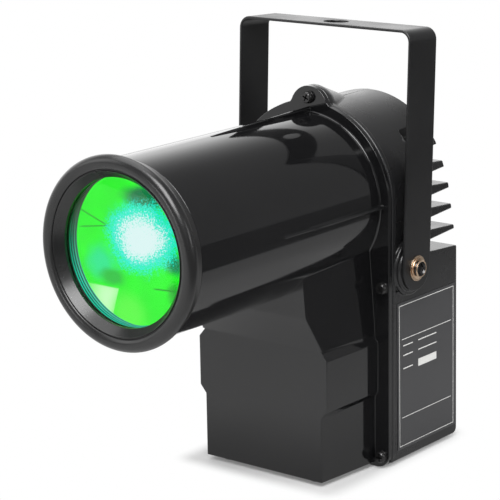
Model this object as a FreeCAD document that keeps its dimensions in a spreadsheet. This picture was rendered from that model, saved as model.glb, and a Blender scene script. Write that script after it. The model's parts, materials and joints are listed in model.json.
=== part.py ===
import FreeCAD, Part
import Sketcher
import math
import os

# Pinspot light: a moulded snoot with a lens, a die-cast finned housing, and a steel
# yoke that tilts on two pivot bolts. The light shines along -Y, the controls face +Y
# and +Z is up. The origin lies under the middle of the fixture, on the floor.
# All lengths are millimetres.

DRIVING_SIZES = (
    # snoot moulding: flange, tube and ribs
    ("flange_y", 45.2),
    ("flange_depth", 3.0),
    ("flange_rim", 5.9),
    ("flange_foot_z", 0.2),
    ("flange_corner", 8.0),
    ("tube_radius", 46.7),
    ("tube_wall", 2.5),
    ("tube_length", 148.2),
    ("ear_screw_gap", 8.2),
    ("ear_drop", 6.3),
    ("ear_radius", 12.5),
    ("ear_fillet", 5.0),
    ("side_screw_inset", 4.0),
    ("side_screw_drop", 44.6),
    ("low_screw_inset", 4.7),
    ("low_screw_rise", 6.4),
    ("rib_thick", 2.0),
    ("rib_rise", 2.4),
    ("rib_length", 67.2),
    ("rib_knee", 8.0),
    # box under the tube, from the floor up
    ("floor_z", 2.6),
    ("box_wall", 2.5),
    ("box_depth", 44.5),
    ("box_draft", 3.6),
    ("washer_gap", 1.1),
    ("base_height", 35.9),
    ("bulge_height", 37.3),
    ("bulge_step", 3.9),
    ("bulge_draft", 2.0),
    ("bulge_slope", 4.6),
    ("chamfer_rise", 20.4),
    ("neck_overhang", 11.2),
    ("neck_drop", 4.1),
    ("neck_reach", 22.0),
    ("neck_step", 0.6),
    ("neck_taper", 3.4),
    ("neck_rear_taper", 3.7),
    # rim ring and optics
    ("sleeve_wall", 4.0),
    ("slip", 0.1),
    ("collar_length", 3.0),
    ("collar_rise", 0.5),
    ("bead_reach", 7.9),
    ("bead_inset", 1.1),
    ("bead_radius", 4.1),
    ("bead_shoulder_y", 2.2),
    ("bead_shoulder_drop", 0.8),
    ("bevel_start_y", 0.7),
    ("bevel_start_rise", 0.6),
    ("seat_reach", 4.6),
    ("lens_lip", 2.0),
    ("lip_thick", 1.2),
    ("lens_edge", 3.0),
    ("lens_seat_gap", 0.05),
    ("lens_front_rise", 3.2),
    ("lens_front_inset", 0.2),
    ("lens_rear_rise", 2.2),
    ("lens_rear_inset", 1.8),
    ("gasket_thick", 1.2),
    ("gasket_width", 1.6),
    ("spacer_length", 8.0),
    ("screen_thick", 1.5),
    ("retainer_length", 4.0),
    ("retainer_width", 3.6),
    # light engine
    ("led_board_radius", 19.5),
    ("led_screw_x", 15.4),
    ("led_screw_length", 8.0),
    ("emitter_half", 5.0),
    ("emitter_thick", 1.2),
    ("dome_radius", 4.0),
    ("dome_rise", 1.6),
    ("optic_gap", 2.2),
    ("optic_length", 26.0),
    ("optic_wide", 21.0),
    ("optic_narrow", 7.0),
    ("holder_short", 4.0),
    ("holder_wide", 23.2),
    ("holder_narrow", 11.4),
    ("holder_inner_wide", 21.57),
    ("holder_inner_narrow", 7.3),
    ("holder_open", 0.5),
    ("skirt_overlap", 0.5),
    ("skirt_radius", 11.8),
    ("skirt_bore", 8.6),
    # rear housing, fins and pivot bosses
    ("lip_over", 0.4),
    ("lip_depth", 3.4),
    ("house_inset", 1.5),
    ("house_foot_inset", 0.5),
    ("house_depth", 65.4),
    ("house_wall", 2.7),
    ("roof_thick", 3.6),
    ("dome_step", 10.6),
    ("dome_slope_rise", 13.6),
    ("slot_depth", 26.0),
    ("slot_spread_depth", 32.0),
    ("slot_cap", 18.7),
    ("slot_base", 5.9),
    ("fin_root", 6.9),
    ("fin_tip", 2.8),
    ("sink_core_half", 33.0),
    ("sink_core_depth", 18.0),
    ("engine_wall_depth", 21.8),
    ("ear_boss_length", 24.0),
    ("ear_boss_taper", 21.0),
    ("rear_edge_radius", 3.5),
    ("pivot_setback", 19.8),
    ("pivot_drop", 36.3),
    ("boss_rise", 4.3),
    ("boss_step", 1.3),
    ("boss_base_radius", 15.5),
    ("boss_top_radius", 13.0),
    ("boss_post_radius", 7.0),
    ("boss_post_length", 6.0),
    ("boss_root", 0.5),
    ("lug_half", 3.6),
    ("lug_side", 3.2),
    ("lug_length", 12.0),
    ("lug_bore", 9.0),
    ("panel_lug_radius", 4.2),
    ("panel_lug_length", 9.0),
    ("panel_lug_bore", 7.5),
    ("panel_ledge", 1.2),
    ("ledge_width", 1.5),
    # yoke and its bolts
    ("yoke_bar", 25.0),
    ("yoke_thick", 1.5),
    ("yoke_rise", 129.4),
    ("yoke_bend", 6.5),
    ("yoke_hole", 7.0),
    ("yoke_bolt_fit", 0.08),
    ("bolt_radius", 3.0),
    ("bolt_hole", 3.1),
    ("bolt_tip_gap", 1.0),
    ("bolt_head_radius", 5.7),
    ("bolt_top_radius", 4.7),
    ("bolt_head_rise", 2.4),
    ("hex_radius", 2.9),
    ("hex_depth", 2.0),
    ("pivot_gap", 0.05),
    ("washer_radius", 7.0),
    ("washer_thick", 0.6),
    ("pad_thick", 0.45),
    ("pad_inset", 1.0),
    # rear panel and what it carries
    ("panel_recess", 1.6),
    ("panel_thick", 1.5),
    ("panel_side_gap", 4.5),
    ("panel_end_gap", 4.8),
    ("panel_fit", 0.2),
    ("panel_screw_inset", 3.6),
    ("panel_screw_length", 6.5),
    ("socket_flange", 2.2),
    ("socket_gap", 2.0),
    ("countersink", 1.4),
    ("socket_screw_length", 8.0),
    ("screw_slot_half", 2.0),
    ("screw_slot_deep", 0.7),
    ("screw_slot_wide", 0.35),
    ("latch_rise", 0.8),
    ("latch_half", 2.9),
    ("latch_fit", 0.3),
    ("latch_low", 1.4),
    ("latch_high", 1.6),
    ("dmx_x", 20.0),
    ("dmx_half_width", 13.0),
    ("dmx_half_height", 15.5),
    ("dmx_barrel", 11.8),
    ("dmx_bore", 9.4),
    ("dmx_depth", 24.0),
    ("dmx_floor", 15.0),
    ("dmx_screw_x", 9.5),
    ("dmx_screw_z", 12.0),
    ("pole_circle", 4.3),
    ("pin_radius", 1.2),
    ("pin_root", 6.0),
    ("pin_free", 9.5),
    ("insert_radius", 7.6),
    ("insert_length", 9.5),
    ("insert_floor", 1.0),
    ("insert_hole", 1.35),
    ("mains_edge", 0.1),
    ("mains_half_width", 14.0),
    ("mains_half_height", 15.5),
    ("mains_depth", 22.0),
    ("inlet_side", 2.0),
    ("inlet_end", 1.0),
    ("shell_inset", 1.0),
    ("inlet_fit", 0.2),
    ("mouth_drop", 4.5),
    ("mouth_inset", 2.2),
    ("mouth_top_inset", 2.0),
    ("mouth_depth", 17.0),
    ("drawer_depth", 14.6),
    ("drawer_inset", 2.8),
    ("drawer_fit", 0.2),
    ("drawer_end_fit", 0.6),
    ("drawer_wall", 1.6),
    ("drawer_floor", 2.0),
    ("blade_half", 1.0),
    ("blade_tall", 2.0),
    ("blade_tail", 3.0),
    ("blade_short", 6.0),
    ("blade_side_x", 7.0),
    ("blade_side_rise", 3.2),
    ("blade_top_rise", 7.2),
    ("fuse_setback", 8.0),
    ("fuse_half", 10.0),
    ("fuse_glass_half", 6.0),
    ("fuse_cap_radius", 2.4),
    ("fuse_glass_radius", 2.2),
    ("fuse_nest_radius", 2.55),
    ("fuse_nest_gap", 0.2),
    ("grip_half", 4.0),
    ("grip_deep", 1.4),
    ("grip_low", 1.2),
    ("grip_high", 0.6),
    ("button_gap", 3.7),
    ("button_pitch", 15.0),
    ("button_radius", 3.3),
    ("button_rise", 1.3),
    ("button_fit", 0.3),
    ("button_travel", 0.8),
    ("stem_gap", 0.2),
    ("collar_set", 1.7),
    ("collar_thick", 1.4),
    ("collar_over", 1.0),
    ("switch_half", 3.0),
    ("switch_rise", 3.6),
    ("display_gap", 4.7),
    ("display_half_width", 18.0),
    ("display_half_height", 6.5),
    ("display_top_gap", 5.7),
    ("window_thick", 1.2),
    ("module_inset", 0.3),
    ("module_gap", 0.2),
    # boards inside the box
    ("board_thick", 1.6),
    ("control_gap", 11.5),
    ("control_side_gap", 10.6),
    ("control_low", 6.0),
    ("control_high", 7.0),
    ("chip_half", 8.0),
    ("chip_low", 3.5),
    ("chip_tall", 8.0),
    ("chip_thick", 2.2),
    ("header_x", 14.0),
    ("header_long", 16.0),
    ("header_low", 2.5),
    ("header_tall", 6.0),
    ("header_thick", 6.0),
    ("post_inset", 3.0),
    ("post_low", 6.5),
    ("post_high", 4.0),
    ("post_radius", 2.6),
    ("power_board_rise", 5.5),
    ("power_side_gap", 3.2),
    ("power_front_gap", 6.8),
    ("power_rear_gap", 26.5),
    ("stand_inset", 4.0),
    ("stand_radius", 3.2),
    ("transformer_setback", 32.0),
    ("core_half", 12.0),
    ("core_rise", 19.0),
    ("coil_half", 15.0),
    ("coil_depth_half", 8.0),
    ("coil_rise", 15.0),
    ("can_side_inset", 10.0),
    ("can_front_inset", 12.0),
    ("can_rear_inset", 22.0),
    ("can_front_radius", 5.0),
    ("can_front_rise", 20.0),
    ("can_large_radius", 6.3),
    ("can_large_rise", 25.0),
    ("can_small_radius", 5.0),
    ("can_small_rise", 16.0),
    ("sink_gap", 3.0),
    ("sink_front", 16.0),
    ("sink_long", 24.0),
    ("sink_wide", 8.0),
    ("sink_thick", 2.0),
    ("sink_rise", 22.0),
    # wiring
    ("wire_radius", 1.2),
    ("wire_hop", 5.0),
    ("wire_board_inset", 8.0),
    ("wire_rear_gap", 2.0),
    ("wire_start_inset", 12.0),
    ("wire_side_gap", 10.4),
    ("wire_wall_gap", 8.0),
    ("wire_bridge_drop", 15.7),
    ("wire_led_step", 0.6),
    ("wire_led_drop", 6.0),
    ("data_wire_x", 16.0),
    ("data_side_gap", 12.4),
    ("mains_wire_inset", 4.0),
    # small standard parts and trim
    ("m3_radius", 1.5),
    ("m3_hole", 1.6),
    ("m3_head", 2.9),
    ("m3_head_rise", 2.1),
    ("m3_washer", 3.5),
    ("m3_washer_thick", 0.6),
    ("flange_screw_length", 11.0),
    ("recess_long", 1.6),
    ("recess_wide", 0.4),
    ("recess_deep", 1.1),
    ("label_front", 10.6),
    ("label_rear", 46.2),
    ("label_low", 5.4),
    ("label_top", 18.9),
    ("label_thick", 0.3),
    ("foot_radius", 4.5),
    ("foot_taper", 0.6),
    ("foot_front_inset", 9.7),
    ("foot_front_setback", 9.3),
    ("foot_rear_inset", 14.1),
    ("foot_rear_setback", 11.6),
)

# Places and sizes that follow from the driving sizes.
DERIVED_SIZES = (
    ("flange_back_y", "flange_y + flange_depth"),
    ("flange_half", "tube_radius + flange_rim"),
    ("tube_front_y", "flange_y - tube_length"),
    ("tube_bore", "tube_radius - tube_wall"),
    ("box_front_y", "flange_y - box_depth"),
    ("neck_front_y", "box_front_y - neck_overhang"),
    ("bulge_low_z", "floor_z + base_height"),
    ("bulge_high_z", "bulge_low_z + bulge_height"),
    ("neck_base_z", "bulge_high_z + chamfer_rise"),
    ("axis_z", "neck_base_z + neck_drop + tube_radius"),
    ("neck_top_z", "axis_z - neck_reach"),
    ("ear_screw_z", "axis_z + tube_radius + ear_screw_gap"),
    ("ear_z", "ear_screw_z - ear_drop"),
    ("side_screw_x", "flange_half - side_screw_inset"),
    ("side_screw_z", "axis_z - side_screw_drop"),
    ("low_screw_x", "flange_half - low_screw_inset"),
    ("low_screw_z", "flange_foot_z + low_screw_rise"),
    ("box_half_rear", "low_screw_x - m3_washer - washer_gap"),
    ("box_half_front", "box_half_rear - box_draft"),
    ("neck_half_top", "box_half_front - neck_taper"),
    ("neck_half_rear", "box_half_rear - neck_rear_taper"),
    ("rib_front_y", "flange_y - rib_length"),
    ("lens_radius", "tube_bore - sleeve_wall - 2 * slip"),
    ("lens_opening", "lens_radius - lens_lip"),
    ("stack_radius", "lens_radius + slip"),
    ("bead_y", "tube_front_y - bead_reach"),
    ("bead_circle", "tube_radius - bead_inset"),
    ("lens_seat_y", "tube_front_y - seat_reach"),
    ("lens_back_y", "lens_seat_y + lens_edge"),
    ("gasket_back_y", "lens_back_y + gasket_thick"),
    ("spacer_back_y", "gasket_back_y + spacer_length"),
    ("screen_back_y", "spacer_back_y + screen_thick"),
    ("ring_back_y", "screen_back_y + retainer_length"),
    ("lip_half", "flange_half + lip_over"),
    ("lip_back_y", "flange_back_y + lip_depth"),
    ("house_half", "flange_half - house_inset"),
    ("house_foot_half", "flange_half - house_foot_inset"),
    ("house_rear_y", "flange_back_y + house_depth"),
    ("dome_rear_y", "house_rear_y - dome_step"),
    ("dome_slope_z", "axis_z + dome_slope_rise"),
    ("dome_bore", "house_half - house_wall"),
    ("cavity_half", "house_half - house_wall"),
    ("engine_wall_y", "flange_back_y + engine_wall_depth"),
    ("ear_boss_rear_y", "lip_back_y + ear_boss_length"),
    ("board_front_y", "engine_wall_y - board_thick"),
    ("emitter_front_y", "board_front_y - emitter_thick"),
    ("panel_y", "house_rear_y - panel_recess"),
    ("panel_back_y", "panel_y - panel_thick"),
    ("panel_half", "house_half - panel_side_gap"),
    ("panel_low_z", "floor_z + panel_end_gap"),
    ("mains_z", "panel_low_z + mains_edge + inlet_end + mains_half_height"),
    ("dmx_z", "mains_z + mains_half_height + inlet_end + socket_gap + dmx_half_height"),
    ("button_z", "dmx_z + dmx_half_height + button_gap + button_radius"),
    ("display_z", "button_z + button_radius + display_gap + display_half_height"),
    ("panel_high_z", "display_z + display_half_height + display_top_gap"),
    ("panel_screw_x", "panel_half - panel_screw_inset"),
    ("panel_screw_low_z", "panel_low_z + panel_screw_inset"),
    ("panel_screw_high_z", "panel_high_z - panel_screw_inset"),
    ("box_top_z", "panel_high_z + panel_end_gap"),
    ("cavity_top_z", "box_top_z - roof_thick"),
    ("slot_front_y", "dome_rear_y - slot_depth"),
    ("slot_top_z", "axis_z + house_half - slot_cap"),
    ("slot_pitch", "(slot_top_z - box_top_z - slot_base) / 5"),
    ("slot_root_half", "(slot_pitch - fin_root) / 2"),
    ("slot_tip_half", "(slot_pitch - fin_tip) / 2"),
    ("pivot_y", "flange_y + pivot_setback"),
    ("pivot_z", "axis_z - pivot_drop"),
    ("boss_face_x", "house_half + boss_rise"),
    ("post_inner_x", "cavity_half - boss_post_length"),
    ("yoke_half", "boss_face_x + pad_thick + pivot_gap + yoke_thick"),
    ("socket_front_y", "panel_y + socket_flange"),
    ("dmx_floor_y", "socket_front_y - dmx_floor"),
    ("control_board_y", "panel_back_y - control_gap"),
    ("board_back_y", "control_board_y + board_thick"),
    ("control_half", "panel_half - control_side_gap"),
    ("post_x", "control_half - post_inset"),
    ("post_low_z", "button_z + post_low"),
    ("post_high_z", "display_z + post_high"),
    ("cavity_floor_z", "floor_z + box_wall"),
    ("power_board_z", "cavity_floor_z + power_board_rise"),
    ("power_top_z", "power_board_z + board_thick"),
    ("power_half", "box_half_front - box_wall - power_side_gap"),
    ("power_front_y", "box_front_y + box_wall + power_front_gap"),
    ("power_rear_y", "panel_back_y - power_rear_gap"),
    ("transformer_y", "power_front_y + transformer_setback"),
    ("sink_x", "coil_half + sink_gap"),
    ("sink_y", "power_front_y + sink_front"),
)

doc = FreeCAD.newDocument("pinspot")
sheet = doc.addObject("Spreadsheet::Sheet", "Sizes")
cells = [(alias, str(number)) for alias, number in DRIVING_SIZES]
cells += [(alias, "=" + formula) for alias, formula in DERIVED_SIZES]
for row, (alias, entry) in enumerate(cells, start=1):
    sheet.set("A%d" % row, alias)
    sheet.set("B%d" % row, entry)
    sheet.setAlias("B%d" % row, alias)
doc.recompute()


class Size:
    """A length taken from the sheet: its number now, and the formula that follows the sheet."""

    def __init__(self, number, formula):
        self.number = float(number)
        self.formula = formula

    def joined(self, other, sign, number):
        return Size(number, "(%s %s %s)" % (self.formula, sign, other.formula))

    def __add__(self, other):
        other = as_size(other)
        return self.joined(other, "+", self.number + other.number)

    def __sub__(self, other):
        other = as_size(other)
        return self.joined(other, "-", self.number - other.number)

    def __mul__(self, other):
        other = as_size(other)
        return self.joined(other, "*", self.number * other.number)

    def __truediv__(self, other):
        other = as_size(other)
        return self.joined(other, "/", self.number / other.number)

    def __radd__(self, other):
        return as_size(other) + self

    def __rsub__(self, other):
        return as_size(other) - self

    def __rmul__(self, other):
        return as_size(other) * self

    def __neg__(self):
        return as_size(0) - self


def as_size(value):
    return value if isinstance(value, Size) else Size(value, "(%s)" % repr(float(value)))


class SheetSizes:
    """Reads each alias of the sheet as a Size."""

    def __getattr__(self, alias):
        return Size(getattr(sheet, alias), "Sizes." + alias)


s = SheetSizes()
NODES = []


def bind(item, prop, value):
    item.setExpression(prop, as_size(value).formula)


def keep(name, item):
    """Makes an object one of the exported sub-parts."""
    item.Label = name
    NODES.append((name, item))
    return item


# Sketched bodies


def new_body(name):
    return doc.addObject("PartDesign::Body", name + "_body")


def origin_plane(body, role):
    return next(item for item in body.Origin.OriginFeatures if item.Role == role)


# For each direction: the plane that a sketch lies on, whether that plane's normal
# points the same way as the direction, and the rotation of a primitive that stands on Z.
DIRECTIONS = {
    "x": ("YZ_Plane", True, FreeCAD.Rotation(FreeCAD.Vector(0, 1, 0), 90)),
    "y": ("XZ_Plane", False, FreeCAD.Rotation(FreeCAD.Vector(1, 0, 0), -90)),
    "z": ("XY_Plane", True, FreeCAD.Rotation()),
}


def sketch_at(body, direction, level):
    """An empty sketch square to a direction, at a level along it."""
    role, same_way, unused = DIRECTIONS[direction]
    sketch = body.newObject("Sketcher::SketchObject", "sketch")
    sketch.AttachmentSupport = [(origin_plane(body, role), "")]
    sketch.MapMode = "FlatFace"
    bind(sketch, "AttachmentOffset.Base.z", as_size(level) if same_way else -as_size(level))
    return sketch


def held(sketch, kind, geometry, point, value):
    """Holds one coordinate of a point, counted from the sketch's origin, to a size."""
    value = as_size(value)
    index = sketch.addConstraint(Sketcher.Constraint(kind, -1, 1, geometry, point, value.number))
    sketch.setExpression("Constraints[%d]" % index, value.formula)


def add_polygon(sketch, corners):
    corners = [(as_size(across), as_size(up)) for across, up in corners]
    places = [FreeCAD.Vector(across.number, up.number, 0) for across, up in corners]
    first = sketch.GeometryCount
    count = len(corners)
    for index in range(count):
        sketch.addGeometry(Part.LineSegment(places[index], places[(index + 1) % count]))
    for index in range(count):
        sketch.addConstraint(
            Sketcher.Constraint("Coincident", first + index, 2, first + (index + 1) % count, 1))
    for index, (across, up) in enumerate(corners):
        held(sketch, "DistanceX", first + index, 1, across)
        held(sketch, "DistanceY", first + index, 1, up)


def add_circle(sketch, across, up, radius):
    across, up, radius = as_size(across), as_size(up), as_size(radius)
    middle = FreeCAD.Vector(across.number, up.number, 0)
    index = sketch.addGeometry(Part.Circle(middle, FreeCAD.Vector(0, 0, 1), radius.number))
    held(sketch, "DistanceX", index, 3, across)
    held(sketch, "DistanceY", index, 3, up)
    bound = sketch.addConstraint(Sketcher.Constraint("Radius", index, radius.number))
    sketch.setExpression("Constraints[%d]" % bound, radius.formula)


def rectangle(low_across, high_across, low_up, high_up):
    return [(low_across, low_up), (high_across, low_up), (high_across, high_up), (low_across, high_up)]


def draw(sketch, shapes):
    """Draws shapes given as ("circle", across, up, radius) or as a list of corners."""
    for shape in shapes:
        if shape[0] == "circle":
            add_circle(sketch, *shape[1:])
        else:
            add_polygon(sketch, shape)


def volume_of(body):
    return body.Shape.Volume if body.Tip else 0.0


def extrude(body, kind, direction, shapes, start, end):
    """Pads or pockets shapes from one level to a higher one along a direction."""
    before = volume_of(body)
    sketch = sketch_at(body, direction, start)
    draw(sketch, shapes)
    feature = body.newObject("PartDesign::" + kind, kind.lower())
    feature.Profile = sketch
    bind(feature, "Length", as_size(end) - start)
    same_way = DIRECTIONS[direction][1]
    feature.Reversed = (not same_way) if kind == "Pad" else same_way
    body.Tip = feature
    doc.recompute()
    changed = volume_of(body) - before
    if (changed <= 0) == (kind == "Pad"):
        raise ValueError("%s in %s changed the volume by %.3f" % (kind, body.Name, changed))
    return feature


def loft(body, direction, sections):
    """Adds a ruled loft through polygons given as (level, corners)."""
    sketches = []
    for level, corners in sections:
        sketch = sketch_at(body, direction, level)
        add_polygon(sketch, corners)
        sketches.append(sketch)
    feature = body.newObject("PartDesign::AdditiveLoft", "loft")
    feature.Profile = sketches[0]
    feature.Sections = sketches[1:]
    feature.Ruled = True
    body.Tip = feature
    doc.recompute()
    return feature


def turn(body, kind, shapes, height, across=0.0):
    """Turns shapes, given as (along Y, radius), about a line along Y at a height."""
    sketch = sketch_at(body, "x", across)
    bind(sketch, "AttachmentOffset.Base.y", height)
    draw(sketch, shapes)
    feature = body.newObject("PartDesign::" + kind, kind.lower())
    feature.Profile = sketch
    feature.ReferenceAxis = (sketch, ["H_Axis"])
    feature.Angle = 360.0
    body.Tip = feature
    doc.recompute()
    return feature


def round_edges(body, radius, chosen):
    """Fillets the edges for which chosen(middle point, direction) holds."""
    names = []
    for index, edge in enumerate(body.Shape.Edges, start=1):
        if not isinstance(edge.Curve, Part.Line):
            continue
        start, end = edge.Vertexes[0].Point, edge.Vertexes[-1].Point
        if chosen((start + end) * 0.5, end - start):
            names.append("Edge%d" % index)
    base = body.Tip
    feature = body.newObject("PartDesign::Fillet", "fillet")
    feature.Base = (base, names)
    bind(feature, "Radius", radius)
    body.Tip = feature
    doc.recompute()
    return feature


# Primitives


def place(item, at):
    for axis, value in zip("xyz", at):
        bind(item, "Placement.Base." + axis, value)


def block(name, low, high):
    """A box between two corners."""
    item = doc.addObject("Part::Box", name)
    for prop, start, end in zip(("Length", "Width", "Height"), low, high):
        bind(item, prop, as_size(end) - start)
    place(item, low)
    return item


def rod(name, direction, at, length, radius):
    """A cylinder from a point along +X, +Y or +Z."""
    item = doc.addObject("Part::Cylinder", name)
    item.Placement.Rotation = DIRECTIONS[direction][2]
    bind(item, "Radius", radius)
    bind(item, "Height", length)
    place(item, at)
    return item


def cone(name, direction, at, length, start_radius, end_radius):
    item = doc.addObject("Part::Cone", name)
    item.Placement.Rotation = DIRECTIONS[direction][2]
    bind(item, "Radius1", start_radius)
    bind(item, "Radius2", end_radius)
    bind(item, "Height", length)
    place(item, at)
    return item


def ball(name, at, radius):
    item = doc.addObject("Part::Sphere", name)
    bind(item, "Radius", radius)
    place(item, at)
    return item


def joined(name, items):
    item = doc.addObject("Part::MultiFuse", name)
    item.Shapes = items
    return item


def cut(name, base, tools):
    item = doc.addObject("Part::Cut", name)
    item.Base = base
    item.Tool = tools[0] if len(tools) == 1 else joined(name + "_tools", tools)
    return item


def common(name, base, tool):
    item = doc.addObject("Part::Common", name)
    item.Base = base
    item.Tool = tool
    return item


def group(name, items):
    """Several separate solids in one sub-part."""
    item = doc.addObject("Part::Compound", name)
    item.Links = items
    return item


def ring(name, direction, at, length, outer, inner):
    outside = rod(name + "_outside", direction, at, length, outer)
    inside = rod(name + "_inside", direction, at, length, inner)
    return cut(name, outside, [inside])


# How far a cutting tool runs past a face, or a piece runs into the one that carries it.
past = 1.0

# Places that several sub-parts share

FLANGE_SCREWS = (
    (as_size(0), s.ear_screw_z),
    (s.side_screw_x, s.side_screw_z),
    (-s.side_screw_x, s.side_screw_z),
    (s.low_screw_x, s.low_screw_z),
    (-s.low_screw_x, s.low_screw_z),
)
PANEL_SCREWS = (
    (s.panel_screw_x, s.panel_screw_low_z),
    (-s.panel_screw_x, s.panel_screw_low_z),
    (s.panel_screw_x, s.panel_screw_high_z),
    (-s.panel_screw_x, s.panel_screw_high_z),
)
SOCKET_SCREWS = tuple(
    (side * s.dmx_x + turned * s.dmx_screw_x, s.dmx_z - turned * s.dmx_screw_z)
    for side in (1, -1) for turned in (1, -1))
POST_PLACES = tuple((side * s.post_x, up) for side in (1, -1) for up in (s.post_low_z, s.post_high_z))
BUTTONS = ("menu", "down", "up", "enter")


def button_x(index):
    return s.button_pitch * (index - (len(BUTTONS) - 1) / 2)


# Snoot moulding: flange, tube, gusset ribs and the hollow box under the tube


def make_snoot():
    body = new_body("snoot")
    straight = rectangle(-s.flange_half, s.flange_half, s.flange_foot_z, s.axis_z)
    extrude(body, "Pad", "y", [straight], s.flange_y, s.flange_back_y)
    round_edges(body, s.flange_corner, lambda middle, way:
                abs(way.y) > 1 and middle.z < s.flange_foot_z.number + 0.1)
    arch = ("circle", 0, s.axis_z, s.flange_half)
    extrude(body, "Pad", "y", [arch], s.flange_y, s.flange_back_y)
    ear = ("circle", 0, s.ear_z, s.ear_radius)
    extrude(body, "Pad", "y", [ear], s.flange_y, s.flange_back_y)
    round_edges(body, s.ear_fillet, lambda middle, way:
                abs(way.y) > 1 and middle.z > s.axis_z.number + 20)
    tube = ("circle", 0, s.axis_z, s.tube_radius)
    extrude(body, "Pad", "y", [tube], s.tube_front_y, s.flange_y)
    loft(body, "y", [box_section(s.box_front_y, s.box_half_front),
                     box_section(s.flange_y, s.box_half_rear)])
    loft(body, "y", [bulge_section(s.box_front_y, s.box_half_front),
                     bulge_section(s.flange_y, s.box_half_rear - s.bulge_draft)])
    loft(body, "y", [neck_section(s.neck_front_y, s.box_half_front + s.neck_step, s.neck_half_top),
                     neck_section(s.flange_y, s.box_half_rear, s.neck_half_rear)])
    below_chamfer = [(s.box_front_y, s.bulge_high_z), (s.neck_front_y, s.neck_base_z),
                     (s.neck_front_y - past, s.neck_base_z), (s.neck_front_y - past, s.bulge_high_z - past),
                     (s.box_front_y, s.bulge_high_z - past)]
    extrude(body, "Pocket", "x", [below_chamfer], -s.flange_half, s.flange_half)
    root = s.tube_radius - past
    crest = s.tube_radius + s.rib_rise
    knee = s.tube_radius + s.rib_rise / 2
    top_rib = [(s.flange_y, s.axis_z + root),
               (s.flange_y, s.axis_z + crest),
               (s.rib_front_y + s.rib_knee, s.axis_z + knee),
               (s.rib_front_y, s.axis_z + root)]
    extrude(body, "Pad", "x", [top_rib], -s.rib_thick / 2, s.rib_thick / 2)
    for side in (1, -1):
        side_rib = [(side * root, s.flange_y),
                    (side * crest, s.flange_y),
                    (side * knee, s.rib_front_y + s.rib_knee),
                    (side * root, s.rib_front_y)]
        extrude(body, "Pad", "z", [side_rib], s.axis_z - s.rib_thick / 2, s.axis_z + s.rib_thick / 2)
    bore = ("circle", 0, s.axis_z, s.tube_bore)
    extrude(body, "Pocket", "y", [bore], s.tube_front_y, s.flange_back_y)
    hollow = rectangle(s.box_wall - s.box_half_front, s.box_half_front - s.box_wall,
                       s.cavity_floor_z, s.bulge_high_z)
    extrude(body, "Pocket", "y", [hollow], s.box_front_y + s.box_wall, s.flange_back_y)
    neck_half = s.neck_half_top - s.box_wall
    roof_z = s.axis_z - s.tube_radius - s.box_wall
    neck_hollow = [(s.box_front_y + s.box_wall, s.bulge_high_z - past),
                   (s.neck_front_y + s.box_wall, s.neck_base_z),
                   (s.neck_front_y + s.box_wall, roof_z),
                   (s.flange_back_y, roof_z),
                   (s.flange_back_y, s.bulge_high_z - past)]
    extrude(body, "Pocket", "x", [neck_hollow], -neck_half, neck_half)
    holes = [("circle", across, up, s.m3_hole) for across, up in FLANGE_SCREWS]
    extrude(body, "Pocket", "y", holes, s.flange_y, s.flange_back_y)
    keep("snoot", body)


def box_section(level, half):
    """Narrow lower part of the box."""
    return (level, rectangle(-half, half, s.floor_z, s.bulge_high_z))


def bulge_section(level, half):
    """The wider band round the box, with sloped shoulders."""
    wide = half + s.bulge_step
    low, high = s.bulge_low_z, s.bulge_high_z
    return (level, [(-half, low), (half, low), (wide, low + s.bulge_slope), (wide, high - s.bulge_slope),
                    (half, high), (-half, high), (-wide, high - s.bulge_slope),
                    (-wide, low + s.bulge_slope)])


def neck_section(level, half_low, half_high):
    """The part of the box that rises into the tube."""
    return (level, [(-half_low, s.bulge_high_z), (half_low, s.bulge_high_z),
                    (half_high, s.neck_top_z), (-half_high, s.neck_top_z)])


# Rim ring, lens and the parts stacked behind the lens


def make_rim():
    body = new_body("rim")
    spigot = s.tube_bore - s.slip
    shoulder = s.bead_circle + s.bead_radius - s.bead_shoulder_drop
    bevel_y = s.bead_y - s.bead_radius + s.bevel_start_y
    bevel_radius = s.bead_circle - s.bead_radius + s.bevel_start_rise
    profile = [
        (s.ring_back_y, s.stack_radius),
        (s.ring_back_y, spigot),
        (s.tube_front_y, spigot),
        (s.tube_front_y, s.tube_radius),
        (s.tube_front_y - s.collar_length, s.tube_radius + s.collar_rise),
        (s.bead_y + s.bead_shoulder_y, shoulder),
        (s.bead_y, s.bead_circle),
        (bevel_y, bevel_radius),
        (s.lens_seat_y - s.lip_thick, s.lens_opening),
        (s.lens_seat_y, s.lens_opening),
        (s.lens_seat_y, s.stack_radius),
    ]
    turn(body, "Revolution", [profile], s.axis_z)
    turn(body, "Revolution", [("circle", s.bead_y, s.bead_circle, s.bead_radius)], s.axis_z)
    keep("rim_ring", body)


def cap_of_sphere(name, face_y, radius, rise, forward):
    """A ball cut to a shallow cap that stands on a round face along -Y or +Y."""
    curve = (radius * radius + rise * rise) / (2 * rise)
    centre = face_y + (curve - rise) if forward else face_y - (curve - rise)
    whole = ball(name + "_ball", (0, centre, s.axis_z), curve)
    start = face_y - rise - past if forward else face_y
    slab = rod(name + "_slab", "y", (0, start, s.axis_z), rise + past, radius)
    return common(name, whole, slab)


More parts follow.
